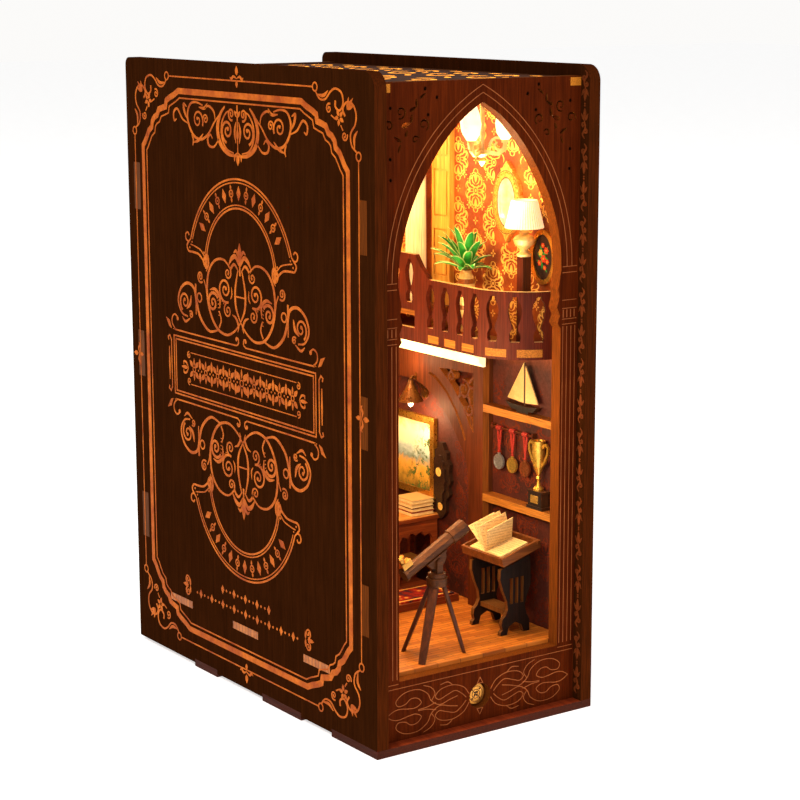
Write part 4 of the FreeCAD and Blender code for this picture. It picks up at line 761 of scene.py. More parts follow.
# centre scroll: lens, big C curves, spirals and side loops
q.swell([(0.0, 23.4), (3.3, 29.0), (3.6, 36.0), (1.4, 43.6)], 1.25, 6, 0.45)
q.line([(0, 33.2), (4.2, 33.2)], 0.6)
q.swell([(0.0, 23.4), (4.6, 19.6), (10.6, 17.4), (17.6, 19.0), (22.8, 24.6), (25.0, 32.2), (23.6, 40.4), (18.6, 45.4), (12.0, 46.4), (7.0, 43.6)], 1.25, 6, 0.5)
q.spiral(9.0, 41.6, 2.9, 0.5, 100, 1.35, 0.8, 0.55, 0.55)
q.spiral(11.2, 35.0, 5.2, 0.7, 250, 1.7, 1.0, 0.6, 0.8)
q.spiral(9.4, 27.0, 3.3, 0.6, 100, -1.4, 0.85, 0.55, 0.65)
q.swell([(7.4, 31.6), (6.2, 33.4), (6.4, 36.4)], 0.8)
q.swell([(2.2, 19.6), (1.6, 22.0), (3.4, 24.8), (6.0, 25.8)], 1.2)
q.swell([(15.4, 27.2), (15.4, 31.6), (18.8, 34.2), (22.8, 33.6)], 1.5)
q.spiral(20.6, 28.8, 4.4, 0.7, 150, -1.55, 1.3, 0.7, 0.8)
q.line([(16.0, 26.0), (14.6, 22.6), (16.2, 19.4)], 0.7, 0.9, 5)
for i in range(6):
    t = i / 5
    q.line([(15.4 + 0.2 * i, 24.4 + 1.5 * i), (16.6 + 0.1 * i, 24.3 + 1.4 * i)], 0.35)
for d in ((11.6, 30.2), (12.6, 29.4), (13.6, 30.2), (14.4, 31.2)):
    q.dot(d[0], d[1], 0.32)
q.swell([(16.8, 18.4), (24.0, 17.2), (30.6, 21.6), (33.4, 27.6), (35.2, 32.6), (40.4, 34.2), (45.8, 31.4), (48.0, 26.2), (45.2, 21.8), (40.6, 20.8)], 1.35, 6, 0.5, 0.25)
q.spiral(42.6, 26.6, 4.2, 0.8, 300, 1.35, 1.0, 0.6, 0.75)
q.swell([(37.6, 29.6), (38.6, 26.0), (41.4, 23.8)], 1.5)
q.spiral(38.0, 21.8, 1.6, 0.4, 40, 1.3, 0.7, 0.5, 0.45)
q.swell([(38.6, 20.4), (42.4, 18.6), (45.2, 20.2)], 1.1)
q.spiral(30.0, 37.9, 2.5, 0.5, 230, 1.5, 0.8, 0.55, 0.55)
q.line([(27.4, 37.0), (26.0, 34.4), (25.4, 31.6)], 0.7, 0.6, 5)
q.ring(31.1, 29.5, 1.7, 0.7)
q.line([(33.9, 34.6), (33.9, 22.4)], 1.1, 0.6)
q.swell([(25.4, 40.4), (23.6, 43.4), (24.4, 46.6), (27.2, 44.6), (26.6, 42.0)], 1.5)
# ribbon: two double arcs with scrolled ends


def arc(cx, cy, r, a0, a1, n=26):
    return [(cx + r * math.cos(math.radians(a0 + (a1 - a0) * i / n)), cy + r * math.sin(math.radians(a0 + (a1 - a0) * i / n))) for i in range(n + 1)]


for r, w in ((39.2, 0.75), (37.9, 0.5)):
    q.line(arc(0, 38.8, r, 90, 20.5), w)
for r, w in ((26.4, 0.5), (25.2, 0.75)):
    q.line(arc(0, 41.8, r, 90, 9.0), w)
q.line([(36.7, 52.4), (38.6, 51.0), (40.6, 51.6), (40.9, 53.6), (39.2, 54.4), (38.2, 53.4)], 0.7, 0.7, 5)
q.line([(38.4, 51.0), (40.0, 49.2), (38.8, 47.2), (35.6, 47.0), (31.2, 46.6), (27.8, 44.6), (25.6, 42.4)], 0.8, 0.9, 5)
q.line([(37.2, 49.9), (33.8, 49.4), (29.6, 48.4), (26.6, 46.2)], 0.5, 0.6, 5)
q.dot(37.8, 48.6, 0.45)
q.dot(36.0, 50.9, 0.4)
q.dot(26.8, 47.6, 0.5)
q.poly([(24.6, 45.6), (26.2, 45.6), (26.2, 41.4), (24.6, 41.4)])
# palmette at the top of the scroll
q.leaf(0.0, 44.6, 90, 9.4, 3.4)
q.swell([(0.6, 45.2), (3.0, 48.4), (5.8, 47.6), (8.2, 44.8)], 1.9)
q.swell([(0.4, 47.4), (2.4, 50.6), (4.4, 49.8)], 1.3)
q.swell([(1.0, 43.0), (3.8, 45.4), (6.4, 43.8), (7.2, 41.0)], 1.2)
q.line([(0, 41.4), (0, 46.0)], 1.2, 0.7)
# beads and lozenges that fill the ribbon
for i in range(0, 7):
    ang = 90 - 9.6 * i
    for rr, sz in ((32.7, 1.0),):
        cx, cy = rr * math.cos(math.radians(ang)), 40.0 + rr * math.sin(math.radians(ang))
        a = math.radians(ang)
        if i % 2 == 0:
            q.poly([(cx + 2.9 * math.cos(a), cy + 2.9 * math.sin(a)), (cx - 1.5 * math.sin(a), cy + 1.5 * math.cos(a)),
                    (cx - 2.9 * math.cos(a), cy - 2.9 * math.sin(a)), (cx + 1.5 * math.sin(a), cy - 1.5 * math.cos(a))])
        else:
            q.ring(cx, cy, 1.3, 0.6, n=16)
            q.dot(cx, cy, 0.5)
            for s in (-1, 1):
                q.leaf(cx + 1.5 * s * math.cos(a), cy + 1.5 * s * math.sin(a), ang + (0 if s > 0 else 180), 1.9, 1.2)
# hanging scrollwork below the top rail, and its place at the foot is empty
t = Ink()
t.line([(0, 105.6), (0, 86.0)], 0.9, 0.5)
t.swell([(0.4, 86.6), (7.0, 87.2), (12.6, 90.6), (14.6, 96.2), (12.6, 101.4), (9.0, 104.8)], 2.1, 6, 0.35)
t.swell([(3.0, 87.6), (8.2, 89.0), (11.6, 93.2), (11.4, 98.4), (8.4, 102.2), (5.2, 103.4)], 0.9, 6, 0.5)
t.spiral(7.4, 95.8, 4.6, 0.8, 280, 1.55, 1.1, 0.7, 0.85)
t.spiral(4.4, 102.2, 2.5, 0.5, 250, 1.4, 0.9, 0.6, 0.6)
t.swell([(1.2, 91.4), (2.0, 95.6), (1.0, 99.4)], 1.3)
t.swell([(13.6, 92.4), (17.4, 89.2), (21.2, 89.4), (22.2, 92.0), (20.2, 93.6), (18.6, 92.2)], 1.1, 6, 0.4)
t.swell([(12.4, 102.0), (17.2, 98.2), (21.6, 93.8), (27.0, 91.4), (32.6, 92.4), (36.4, 96.4), (37.4, 100.8), (35.0, 104.6), (30.4, 105.4), (25.6, 104.4)], 1.15, 6, 0.5)
t.swell([(22.0, 105.4), (24.4, 103.4), (28.6, 103.6)], 1.3)
t.spiral(29.6, 98.6, 4.2, 0.7, 210, -1.4, 0.9, 0.6, 0.7)
t.spiral(23.6, 99.2, 2.2, 0.5, 320, 1.4, 0.75, 0.5, 0.5)
t.swell([(25.6, 93.6), (29.0, 91.0), (33.2, 89.8)], 1.2)
t.swell([(34.6, 93.4), (33.2, 90.8), (33.8, 88.6)], 1.0)
t.swell([(16.2, 99.4), (17.4, 102.6), (21.2, 104.4), (24.2, 103.2)], 1.0)
t.swell([(37.0, 98.0), (39.6, 101.0), (40.4, 104.2), (38.0, 103.4)], 1.4)
t.swell([(37.4, 97.0), (41.6, 98.6), (45.4, 102.2), (48.4, 100.6), (48.0, 97.6), (46.2, 98.2)], 1.0, 6, 0.5)
t.leaf(0.0, 87.2, -90, 4.2, 2.4)
t.swell([(0.2, 88.0), (2.2, 86.4), (2.4, 84.6)], 1.0)
t.leaf(0.0, 92.6, 90, 4.6, 2.0)
for a in (50, 90):
    t.leaf(0.0, 101.0, a, 3.4, 1.6)
# running ornament where a title would stand
n_u = Ink()
for i in range(10):
    x = 4.55 * i
    if i % 2 == 0:
        big = 1.0 if i else 1.25
        n_u.ring(x, 0, 1.0 * big, 0.5, n=18)
        for a in (45, 135, 225, 315):
            n_u.leaf(x + 1.3 * big * math.cos(math.radians(a)), 1.3 * big * math.sin(math.radians(a)), a, 3.5 * big, 2.1 * big)
        for a in (90, 270):
            n_u.leaf(x, 1.4 * big * (1 if a == 90 else -1), a, 3.2 * big, 1.2)
    elif i < 9:
        n_u.leaf(x, 0.5, 90, 4.6, 1.9)
        n_u.leaf(x, -0.5, -90, 4.6, 1.9)
        n_u.dot(x - 1.25, 0, 0.42)
        n_u.dot(x + 1.25, 0, 0.42)
    else:
        for up_s in (1, -1):
            n_u.swell([(x, 0), (x + 1.6, 2.0 * up_s), (x + 3.6, 2.2 * up_s), (x + 3.8, 0.9 * up_s)], 0.9)
        n_u.leaf(x + 0.4, 0, 0, 5.2, 1.6)
for sgn in (1, -1):
    n_u.line([(0.0, 6.4 * sgn), (39.0, 6.4 * sgn)], 0.4)
    n_u.spiral(40.4, 5.2 * sgn, 1.5, 0.4, 100 * sgn, -1.2 * sgn, 0.5, 0.4, 0.4)
# bead-and-leaf rows near the foot
foot = Ink()
for z, half in ((-85.9, 19.0), (-92.0, 38.0)):
    x = 0.0
    i = 0
    while x <= half:
        if i % 3 == 0:
            foot.poly([(x, z + 1.9), (x + 1.2, z), (x, z - 1.9), (x - 1.2, z)])
        else:
            foot.dot(x, z, 0.55)
        x += 2.9
        i += 1
foot.spiral(45.2, -88.0, 2.0, 0.5, 270, 1.3, 0.75, 0.5, 0.5)
foot.spiral(45.2, -93.2, 2.0, 0.5, 90, -1.3, 0.75, 0.5, 0.5)
foot.leaf(44.8, -90.6, 0, 4.4, 1.8)
foot.leaf(43.4, -90.6, 90, 3.2, 1.3)
foot.leaf(43.4, -90.6, -90, 3.2, 1.3)
art.take(q.four(), lambda a, b: (a, b))
art.take(t.two(), lambda a, b: (a, b))
art.take(n_u.two(), lambda a, b: (a, b))
art.take(foot.two(), lambda a, b: (a, b))
# fleurs at the middles of the outer line
for s in (1, -1):
    f = Ink()
    f.leaf(0, 1.6, 90, 3.6, 2.2)
    f.swell([(0, 0.4), (-2.2, 1.2), (-3.8, 0.2), (-4.8, 0.9)], 1.1)
    f.swell([(0, 0.4), (2.2, 1.2), (3.8, 0.2), (4.8, 0.9)], 1.1)
    f.leaf(0, -0.4, -90, 2.6, 1.8)
    art.take(f, lambda a, b, s=s: (a, s * (b + 115.0)))
    art.take(f, lambda a, b, s=s: (s * (b + 81.2), a))
CY, CZ = 1.5, 124.0
lx0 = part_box("left_cover")[0][0] / MM
rx1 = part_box("right_cover")[1][0] / MM
art.build("left_cover_foil", lambda a, b, h: (lx0 - h, CY - a, CZ + b), M["copper"], 0.07, 0.06, slot="cover_board")
art.build("right_cover_foil", lambda a, b, h: (rx1 + h, CY + a - 3.0, CZ + b), M["copper"], 0.07, 0.06, slot="cover_board")

# ------------------------------------------------------------------ etched lines on the front frame
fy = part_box("front_frame")[0][1] / MM
e = Ink()


def gothic(half, spring, apex, n=22):
    """Right-hand half of a pointed arch, from foot to point."""
    h = apex - spring
    r = (half * half + h * h) / (2 * half)
    a1 = math.atan2(h, r - half)
    return [(half - r + r * math.cos(a1 * i / n), spring + r * math.sin(a1 * i / n)) for i in range(n + 1)]


e.line(gothic(39.5, 171.3, 236.4), 0.3)
e.line(gothic(41.8, 171.3, 239.2), 0.3)
e.line([(37.4, 171.3), (44.2, 171.3)], 0.27)
e.line([(37.4, 169.1), (44.2, 169.1)], 0.27)
e.line([(37.4, 158.8), (44.2, 158.8)], 0.27)
for z in (155.7, 151.7, 149.8):
    e.line([(37.4, z), (44.2, z)], 0.24)
x = 37.9
while x < 44.2:
    e.line([(x, 152.3), (x, 155.2)], 0.4)
    x += 1.75
for x in (37.8, 39.7, 41.7, 43.6):
    e.line([(x, 26.4), (x, 149.0)], 0.27)
e.line([(37.2, 24.7), (44.2, 24.7)], 0.24)
e.line([(0, 23.0), (44.2, 23.0)], 0.24)
# scroll panel below the arch
for sg in (1, -1):
    def zz_(v, sg=sg):
        return 13.0 + sg * v
    e.line([(5.0, zz_(1.6)), (7.6, zz_(4.8)), (12.6, zz_(6.6)), (18.0, zz_(6.0)), (20.6, zz_(3.8)), (18.8, zz_(2.2)), (15.4, zz_(3.2)), (11.6, zz_(4.2)), (8.6, zz_(2.6)), (6.4, zz_(0.6))], 0.3, 0.3, 6)
    e.line([(10.4, zz_(2.0)), (14.2, zz_(1.2)), (18.6, zz_(0.2)), (22.4, zz_(2.4)), (24.2, zz_(5.6)), (28.6, zz_(8.0)), (34.4, zz_(7.8)), (38.2, zz_(5.4)), (37.4, zz_(3.2)), (34.2, zz_(3.4)), (31.6, zz_(5.0)), (28.6, zz_(4.6)), (27.0, zz_(2.6)), (29.6, zz_(1.2)), (33.0, zz_(1.4))], 0.3, 0.3, 6)
    e.line([(20.4, zz_(1.4)), (24.6, zz_(0.4)), (28.4, zz_(0.2))], 0.28, 0.28, 6)
    e.line([(33.0, zz_(1.4)), (36.6, zz_(2.0)), (39.6, zz_(1.6)), (42.4, zz_(0.0))], 0.3, 0.3, 6)
    e.line([(22.4, zz_(2.4)), (20.8, zz_(5.0)), (22.6, zz_(7.6)), (26.0, zz_(9.0))], 0.28, 0.28, 6)
    e.swell([(12.6, zz_(6.6)), (15.0, zz_(8.2)), (18.4, zz_(7.8))], 0.4, 6, 0.6)
for z, s in ((18.6, 1), (7.2, -1)):
    e.line([(0, z + 1.6 * s), (1.3, z - 0.8 * s), (0, z - 0.8 * s)], 0.27)
e.two().build("front_frame_etching", lambda a, b, h: (a, fy - h, b), M["etch"], 0.05, 0.05, slot="frame_board")
# small dark stars round the fretwork, painted shade standing for piercings
sp = Ink()
for x, z in ((25.2, 238.6), (20.2, 235.4), (40.0, 232.2), (24.0, 229.4), (40.2, 214.7), (39.9, 207.4)):
    for a in (0, 45):
        c_, s_ = math.cos(math.radians(a)), math.sin(math.radians(a))
        sp.poly([(x + 0.75 * (c_ * u_ - s_ * v_), z + 0.75 * (s_ * u_ + c_ * v_)) for u_, v_ in ((1, 0), (0.25, 0.25), (0, 1), (-0.25, 0.25), (-1, 0), (-0.25, -0.25), (0, -1), (0.25, -0.25))])
sp.two().build("front_star_painted_shade", lambda a, b, h: (a, fy - h, b), M["void"], 0.03, 0.05, slot="frame_board")

# ------------------------------------------------------------------ relief ornament on the inner face of the right cover's front strip
rel = Ink()
u = Ink()
u.spiral(0.95, 3.1, 0.9, 0.35, 90, 1.3, 0.5, 0.35, 0.3)
u.spiral(2.1, 5.6, 0.9, 0.35, 270, 1.3, 0.5, 0.35, 0.3)
u.swell([(1.5, 0.4), (2.5, 2.0), (1.1, 4.4), (1.9, 7.6)], 0.8)
u.leaf(1.5, 7.4, 90, 4.2, 1.5)
u.leaf(1.2, 7.0, 118, 3.0, 0.9)
u.leaf(1.8, 7.0, 62, 3.0, 0.9)
u.dot(1.5, 12.4, 0.35)
for i in range(9):
    rel.take(u, lambda a, b, i=i: (a, 5.0 + 26.6 * i + b))
    rel.take(u, lambda a, b, i=i: (3.0 - a, 5.0 + 26.6 * i + 25.6 - b))
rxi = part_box("right_cover")[0][0] / MM
rel.build("right_edge_relief", lambda a, b, h: (rxi - h, -88.2 + a * 1.15, b), M["relief"], 0.22, 0.05, slot="cover_board")

# ------------------------------------------------------------------ wallpaper: flocked medallions
def medallion(s):
    """Lace-like lozenge of leaves and curls, about 17 mm tall at s = 1."""
    h = Ink()
    h.leaf(0, 3.4, 90, 4.6, 1.9)
    h.swell([(0.3, 7.2), (1.4, 7.8), (1.2, 8.8), (0.1, 9.4)], 0.55)
    h.swell([(0.3, 2.6), (2.0, 3.6), (2.4, 5.6), (1.2, 6.6), (0.9, 5.4)], 0.7)
    h.swell([(0.6, 1.6), (3.4, 2.2), (4.2, 4.2), (3.0, 5.2), (2.4, 4.3)], 0.7)
    h.swell([(1.6, 0.5), (4.6, 0.9), (5.9, 2.2), (5.2, 3.2), (4.3, 2.7)], 0.65)
    h.swell([(2.6, 6.2), (3.9, 5.8), (4.9, 4.4)], 0.5)
    h.swell([(1.6, 7.6), (2.4, 7.2), (3.0, 6.6)], 0.45)
    h.swell([(5.0, 3.9), (6.1, 3.3), (6.9, 1.9), (6.6, 0.4)], 0.55)
    h.leaf(3.4, 0, 0, 3.0, 1.3)
    h.leaf(1.0, 1.0, 45, 2.2, 0.9)
    h.dot(5.6, 4.6, 0.3)
    h.dot(3.6, 6.8, 0.28)
    k = Ink()
    k.take(h.four(), lambda a, b: (a * s, b * s))
    k.ring(0, 0, 1.5 * s, 0.45 * s, n=16)
    k.dot(0, 0, 0.7 * s, 8)
    return k


wall = Ink()
base = medallion(0.92)
tiny = Ink()
for a in range(0, 360, 90):
    tiny.leaf(0.3 * math.cos(math.radians(a)), 0.3 * math.sin(math.radians(a)), a, 1.3, 0.7)
zz = 147.0
row = 0
while zz < 233:
    yy = -68.0 + (row % 2) * 11.5
    while yy < 74:
        wall.take(base, lambda a, b, yy=yy, zz=zz: (yy + a, zz + b))
        wall.take(tiny, lambda a, b, yy=yy, zz=zz: (yy + 11.5 + a, zz + b))
        wall.take(tiny, lambda a, b, yy=yy, zz=zz: (yy + 7.2 + a, zz + 5.8 + b))
        wall.take(tiny, lambda a, b, yy=yy, zz=zz: (yy - 7.2 + a, zz + 5.8 + b))
        yy += 23.0
    zz += 11.8
    row += 1
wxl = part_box("left_wall_lining")[1][0] / MM
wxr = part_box("right_wall_lining")[0][0] / MM


def clear(y, z, holes):
    return all(not (a < y < b and c < z < d) for a, b, c, d in holes)


holes = [(-53, -34, 175, 208), (-74, -58, 161, 184), (-9, 17, 137, 236)]
wr = Ink()
wr.s = [st for st in wall.s if clear(sum(p[0] for p in st[0]) / len(st[0]), sum(p[1] for p in st[0]) / len(st[0]), holes)]
wr.build("right_wall_damask", lambda a, b, h: (wxr - h, a, b), M["damask_line"], 0.04, 0.05, slot="damask_paper")
wl = Ink()
wl.s = list(wall.s)
wl.build("left_wall_damask", lambda a, b, h: (wxl + h, a, b), M["damask_line"], 0.04, 0.05, slot="damask_paper")
# darker repeat in the bookcase and the lower room
low = Ink()
for st in wall.s:
    low.s.append(([(a, b - 116.0) for a, b in st[0]], st[1], st[2]))
low.s = [st for st in low.s if sum(p[1] for p in st[0]) / len(st[0]) < 132]
lr = Ink()
lr.s = [st for st in low.s if clear(sum(p[0] for p in st[0]) / len(st[0]), sum(p[1] for p in st[0]) / len(st[0]),
                                    [(-10, 34, 55, 100), (-80, -32, 70, 77), (-80, -32, 106, 113), (-34.5, -31.5, 0, 200)])]
lr.build("right_wall_damask_low", lambda a, b, h: (wxr - h, a, b), M["damask_red"], 0.04, 0.05, slot="damask_paper")
low.build("left_wall_damask_low", lambda a, b, h: (wxl + h, a, b), M["damask_red"], 0.04, 0.05, slot="damask_paper")
# paper on the inside of the back board
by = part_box("back_board")[0][1] / MM
bk = Ink()
for st in wall.s:
    p = [(a * 0.55, b) for a, b in st[0]]
    if max(abs(v[0]) for v in p) < 43:
        bk.s.append((p, st[1], st[2]))
boxes("back_wall_paper", [(-43.9, 43.9, by - 0.5, by - 0.05, 30.2, 237.3)], M["damask"])
bk.build("back_wall_damask", lambda a, b, h: (a, by - 0.5 - h, b), M["damask_line"], 0.04, 0.03, slot="damask_paper")

# ------------------------------------------------------------------ rug on the dais
def rug_mat():
    k = Mat("rug_wool")
    n = k.noise(2400, 3.0, 0.6)
    v = k.new("ShaderNodeTexVoronoi", feature="F1")
    v.inputs["Scale"].default_value = 260
    k.link(k.co, v.inputs["Vector"])
    c = k.ramp(v.outputs["Distance"], [(0.1, lin((206, 140, 52))), (0.3, lin((150, 34, 20))), (0.62, lin((110, 22, 14))), (0.8, lin((42, 28, 40)))])
    c = k.mix(0.5, c, k.ramp(n, [(0.35, (0.6, 0.55, 0.5, 1)), (0.62, (1.15, 1.15, 1.15, 1))]), "MULTIPLY")
    k.link(c, k.b.inputs["Base Color"])
    k.set(Roughness=0.95, Specular_IOR_Level=0.1)
    k.bump(n, 0.8, 0.0004)
    return k.m


# ------------------------------------------------------------------ leaves in the vase
def leaves():
    vs, fs, idx = [], [], []
    lo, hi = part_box("leaf_spray")
    c = Vector(((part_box("leaf_vase")[0][0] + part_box("leaf_vase")[1][0]) / 2, (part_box("leaf_vase")[0][1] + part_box("leaf_vase")[1][1]) / 2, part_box("leaf_vase")[1][2] - 0.0012)) / MM
    r = random.Random(5)
    n_blades = 34
    for i in range(n_blades):
        az = i * 2.39996 + r.uniform(-0.15, 0.15)
        f = i / (n_blades - 1)
        el = math.radians(86 - 66 * f + r.uniform(-6, 6))
        long = r.uniform(14.5, 17.5) * (1.22 - 0.34 * f)
        droop = r.uniform(0.15, 0.4) + 0.25 * f
        wide = r.uniform(1.3, 1.75)
        dx, dy = math.cos(az), math.sin(az)
        if dx > 0.2:
            long *= 1 - 0.5 * dx
        n = 9
        pts = []
        u = z = 0.0
        for j in range(n + 1):
            t = j / n
            a = el - droop * t * t * 1.7
            pts.append((u, z))
            u += long / n * math.cos(a)
            z += long / n * math.sin(a)
        base = len(vs)
        for j, (u, z) in enumerate(pts):
            t = j / n
            w = wide * (0.18 + 1.0 * math.sin(math.pi * min(1.0, t * 0.94 + 0.03)) ** 0.75) * (1.0 if j < n else 0.15)
            x, y = c.x + dx * u, c.y + dy * u
            x = min(x, 42.2)
            sx, sy = -dy, dx
            lift = w * 0.42
            for s, up in ((-1.0, lift), (-0.82, lift * 0.7), (0.0, 0.0), (0.82, lift * 0.7), (1.0, lift)):
                vs.append(Vector((min(x + sx * w * s, 43.8), y + sy * w * s, c.z + z + up)) * MM)
            for s, up in ((1.0, lift - 0.12), (0.82, lift * 0.7 - 0.14), (0.0, -0.16), (-0.82, lift * 0.7 - 0.14), (-1.0, lift - 0.12)):
                vs.append(Vector((min(x + sx * w * s, 43.8), y + sy * w * s, c.z + z + up)) * MM)
        for j in range(n):
            a, b = base + 10 * j, base + 10 * (j + 1)
            for e_ in range(10):
                g = (e_ + 1) % 10
                fs.append([a + e_, a + g, b + g, b + e_])
                idx.append(1 if e_ in (0, 3, 4, 5, 8, 9) else 0)
        fs.append([base + k for k in range(10)])
        fs.append([base + 10 * n + k for k in range(10)][::-1])
        idx += [0, 0]
    o = add_mesh("leaf_spray_blades", vs, fs, M["leafgreen"], smooth=True, idx=idx, extra=(M["leafedge"],))
    return o


spray = leaves()
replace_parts(spray, "leaf_spray")

# ------------------------------------------------------------------ small fittings in the rooms
rug = Ink()
rug.poly([(-43.0, -17.4), (37.4, -17.4), (37.4, -1.2), (19.2, -1.2), (19.2, 62.0), (-43.0, 62.0)])
rug.build("dais_rug", lambda a, b, h: (a, b, 30.0 + h), rug_mat(), 0.6, 0.02, slot="damask_paper")
rb_ = Ink()
rb_.line([(-41.6, -16.0), (36.0, -16.0), (36.0, -2.6), (17.8, -2.6), (17.8, 60.6), (-41.6, 60.6)], 0.9, closed=True)
rb_.build("rug_border", lambda a, b, h: (a, b, 30.6 + h), paper("rug_border_wool", (190, 120, 40), (226, 164, 72), scale=2400), 0.06, 0.04, slot="damask_paper")
# gold plate on the cup's plinth
p0, p1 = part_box("cup_plinth")
boxes("plinth_plate", [(p0[0] / MM - 0.05, p0[0] / MM + 0.5, (p0[1] + p1[1]) / 2 / MM - 2.2, (p0[1] + p1[1]) / 2 / MM + 2.2, 77.6, 80.6)], M["plaque"], bevel=0.12)

# beads and fine rims on the mirror
mb = Ink()
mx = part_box("mirror")[0][0] / MM
for i in range(34):
    a = 2 * math.pi * i / 34
    mb.dot(-43.6 + 7.4 * math.cos(a), 191.5 + 11.4 * math.sin(a), 0.42, 8)
mb.build("mirror_beads", lambda a, b, h: (mx - h, a, b), M["plaque"], 0.35, 0.1, slot="gilt_card")
mr2 = Ink()
mr2.ring(-43.6, 191.5, 5.45, 0.32, ry=9.5, n=44)
mr2.ring(-43.6, 191.5, 8.3, 0.26, ry=12.2, n=44)
mr2.build("mirror_dark_lines", lambda a, b, h: (mx - h, a, b), M["ebony"], 0.04, 0.1, slot="gilt_card")

# flowers in the small picture
fl = Ink()
flr = random.Random(3)
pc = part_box("flower_picture")
pcy, pcz, pcx = (pc[0][1] + pc[1][1]) / 2 / MM, (pc[0][2] + pc[1][2]) / 2 / MM, pc[0][0] / MM
green = Ink()
for i in range(12):
    a = flr.uniform(0, 360)
    green.leaf(pcy + flr.uniform(-1.4, 1.4), pcz + flr.uniform(-3.6, 2.0), a, 3.4, 1.1, 0.1)
green.build("picture_leaves", lambda a, b, h: (pcx - h, a, b), M["leafgreen"], 0.08, 0.04, slot="printed_paper")
reds, golds = Ink(), Ink()
for cy_, cz_, s in ((-1.6, 2.6, 1.5), (1.7, 1.6, 1.3), (0.0, -0.6, 1.7), (-2.2, -1.6, 1.1), (2.3, -2.4, 1.2), (0.4, 4.4, 1.1), (-0.8, -4.0, 1.0)):
    for a in range(0, 360, 60):
        (reds if s != 1.3 else golds).leaf(pcy + cy_, pcz + cz_, a, s, s * 0.8)
    golds.dot(pcy + cy_, pcz + cz_, s * 0.25)
reds.build("picture_flowers", lambda a, b, h: (pcx - h, a, b), paper("petal_red", (196, 50, 18), (232, 88, 34)), 0.12, 0.02, slot="printed_paper")
golds.build("picture_flower_hearts", lambda a, b, h: (pcx - h, a, b), paper("petal_gold", (236, 150, 40), (250, 190, 80)), 0.16, 0.0, slot="printed_paper")

# pleats of the standing lamp's shade
s0, s1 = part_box("lamp_shade")
scx, scy = (s0[0] + s1[0]) / 2 / MM, (s0[1] + s1[1]) / 2 / MM
vs, fs = [], []
NP = 44
for i in range(NP):
    a0, a1 = 2 * math.pi * i / NP, 2 * math.pi * (i + 0.42) / NP
    k = len(vs)
    for r_low, r_high, in ((7.34, 4.84), (7.5, 5.0)):
        for a in (a0, a1):
            for r_, z_ in ((r_low, 184.0), (r_high, 194.1)):
                vs.append(Vector((min(scx + r_ * math.cos(a), 43.95), scy + r_ * math.sin(a), z_)) * MM)
    fs += [[k + v for v in f] for f in ((0, 1, 3, 2), (4, 6, 7, 5), (0, 4, 5, 1), (2, 3, 7, 6), (0, 2, 6, 4), (1, 5, 7, 3))]
add_mesh("lamp_shade_pleats", vs, fs, M["pleat"])

# flat splayed legs of the tripod, in place of the plain ones
def planks():
    vs, fs = [], []
    hx, hy = -9.0, -69.0
    for fx_, fy_ in ((-17.6, -58.6), (-21.5, -76.4), (0.8, -73.6)):
        out = Vector((fx_ - hx, fy_ - hy, 0)).normalized()
        top = Vector((hx, hy, 53.8)) + out * 2.5
        foot_ = Vector((fx_, fy_, 27.0)) - out * 0.5
        d = (foot_ - top).normalized()
        tan = Vector((-out.y, out.x, 0))
        nrm = tan.cross(d).normalized()
        rings_ = []
        for tt, w, th in ((0.0, 1.75, 0.72), (0.06, 1.8, 0.78), (0.5, 1.62, 0.74), (0.9, 1.42, 0.66), (1.0, 1.3, 0.6)):
            c = top + (foot_ - top) * tt
            ring_ = []
            for sa, sb in ((-1, -0.7), (-0.8, -1), (0.8, -1), (1, -0.7), (1, 0.7), (0.8, 1), (-0.8, 1), (-1, 0.7)):
                p = c + tan * (w * sa) + nrm * (th * sb)
                if tt in (0.0, 1.0):  # ends cut level
                    p = p + d * ((c.z - p.z) / d.z)
                ring_.append(p)
            rings_.append(ring_)
        k = len(vs)
        for ring_ in rings_:
            vs += [p * MM for p in ring_]
        for j in range(len(rings_) - 1):
            for i in range(8):
                fs.append([k + 8 * j + i, k + 8 * j + (i + 1) % 8, k + 8 * (j + 1) + (i + 1) % 8, k + 8 * (j + 1) + i])
        fs.append([k + i for i in range(8)])
        fs.append([k + 8 * (len(rings_) - 1) + i for i in range(8)])
    return add_mesh("tripod_leg_planks", vs, fs, M["leg"])


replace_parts(planks(), "tripod_legs")

# struck pattern on the brass button
b0, b1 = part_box("touch_button")
bi = Ink()
bi.ring(0, 12.9, 3.0, 0.22, n=32)
bi.ring(0, 12.9, 1.7, 0.3, n=24)
for a in (45, 135, 225, 315):
    bi.leaf(0.2 * math.cos(math.radians(a)), 12.9 + 0.2 * math.sin(math.radians(a)), a, 1.3, 0.7)
    bi.dot(2.35 * math.cos(math.radians(a)), 12.9 + 2.35 * math.sin(math.radians(a)), 0.24)
bi.build("button_emblem", lambda a, b, h: (a, b0[1] / MM - h, b), M["ebony"], 0.05, 0.05, body="button", slot="brass_part")

# title lines on the raised book's pages are left as plain ruled lines
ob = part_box("open_book")

# place on the open book where loose leaves would stand; nothing is built from it
def book_leaves():
    vs, fs = [], []
    y0, y1 = ob[0][1] / MM + 3.4, ob[1][1] / MM - 3.4
    cx = (ob[0][0] + ob[1][0]) / 2 / MM
    cz = (ob[0][2] + ob[1][2]) / 2 / MM - 0.6
    return cx, cz, y0, y1


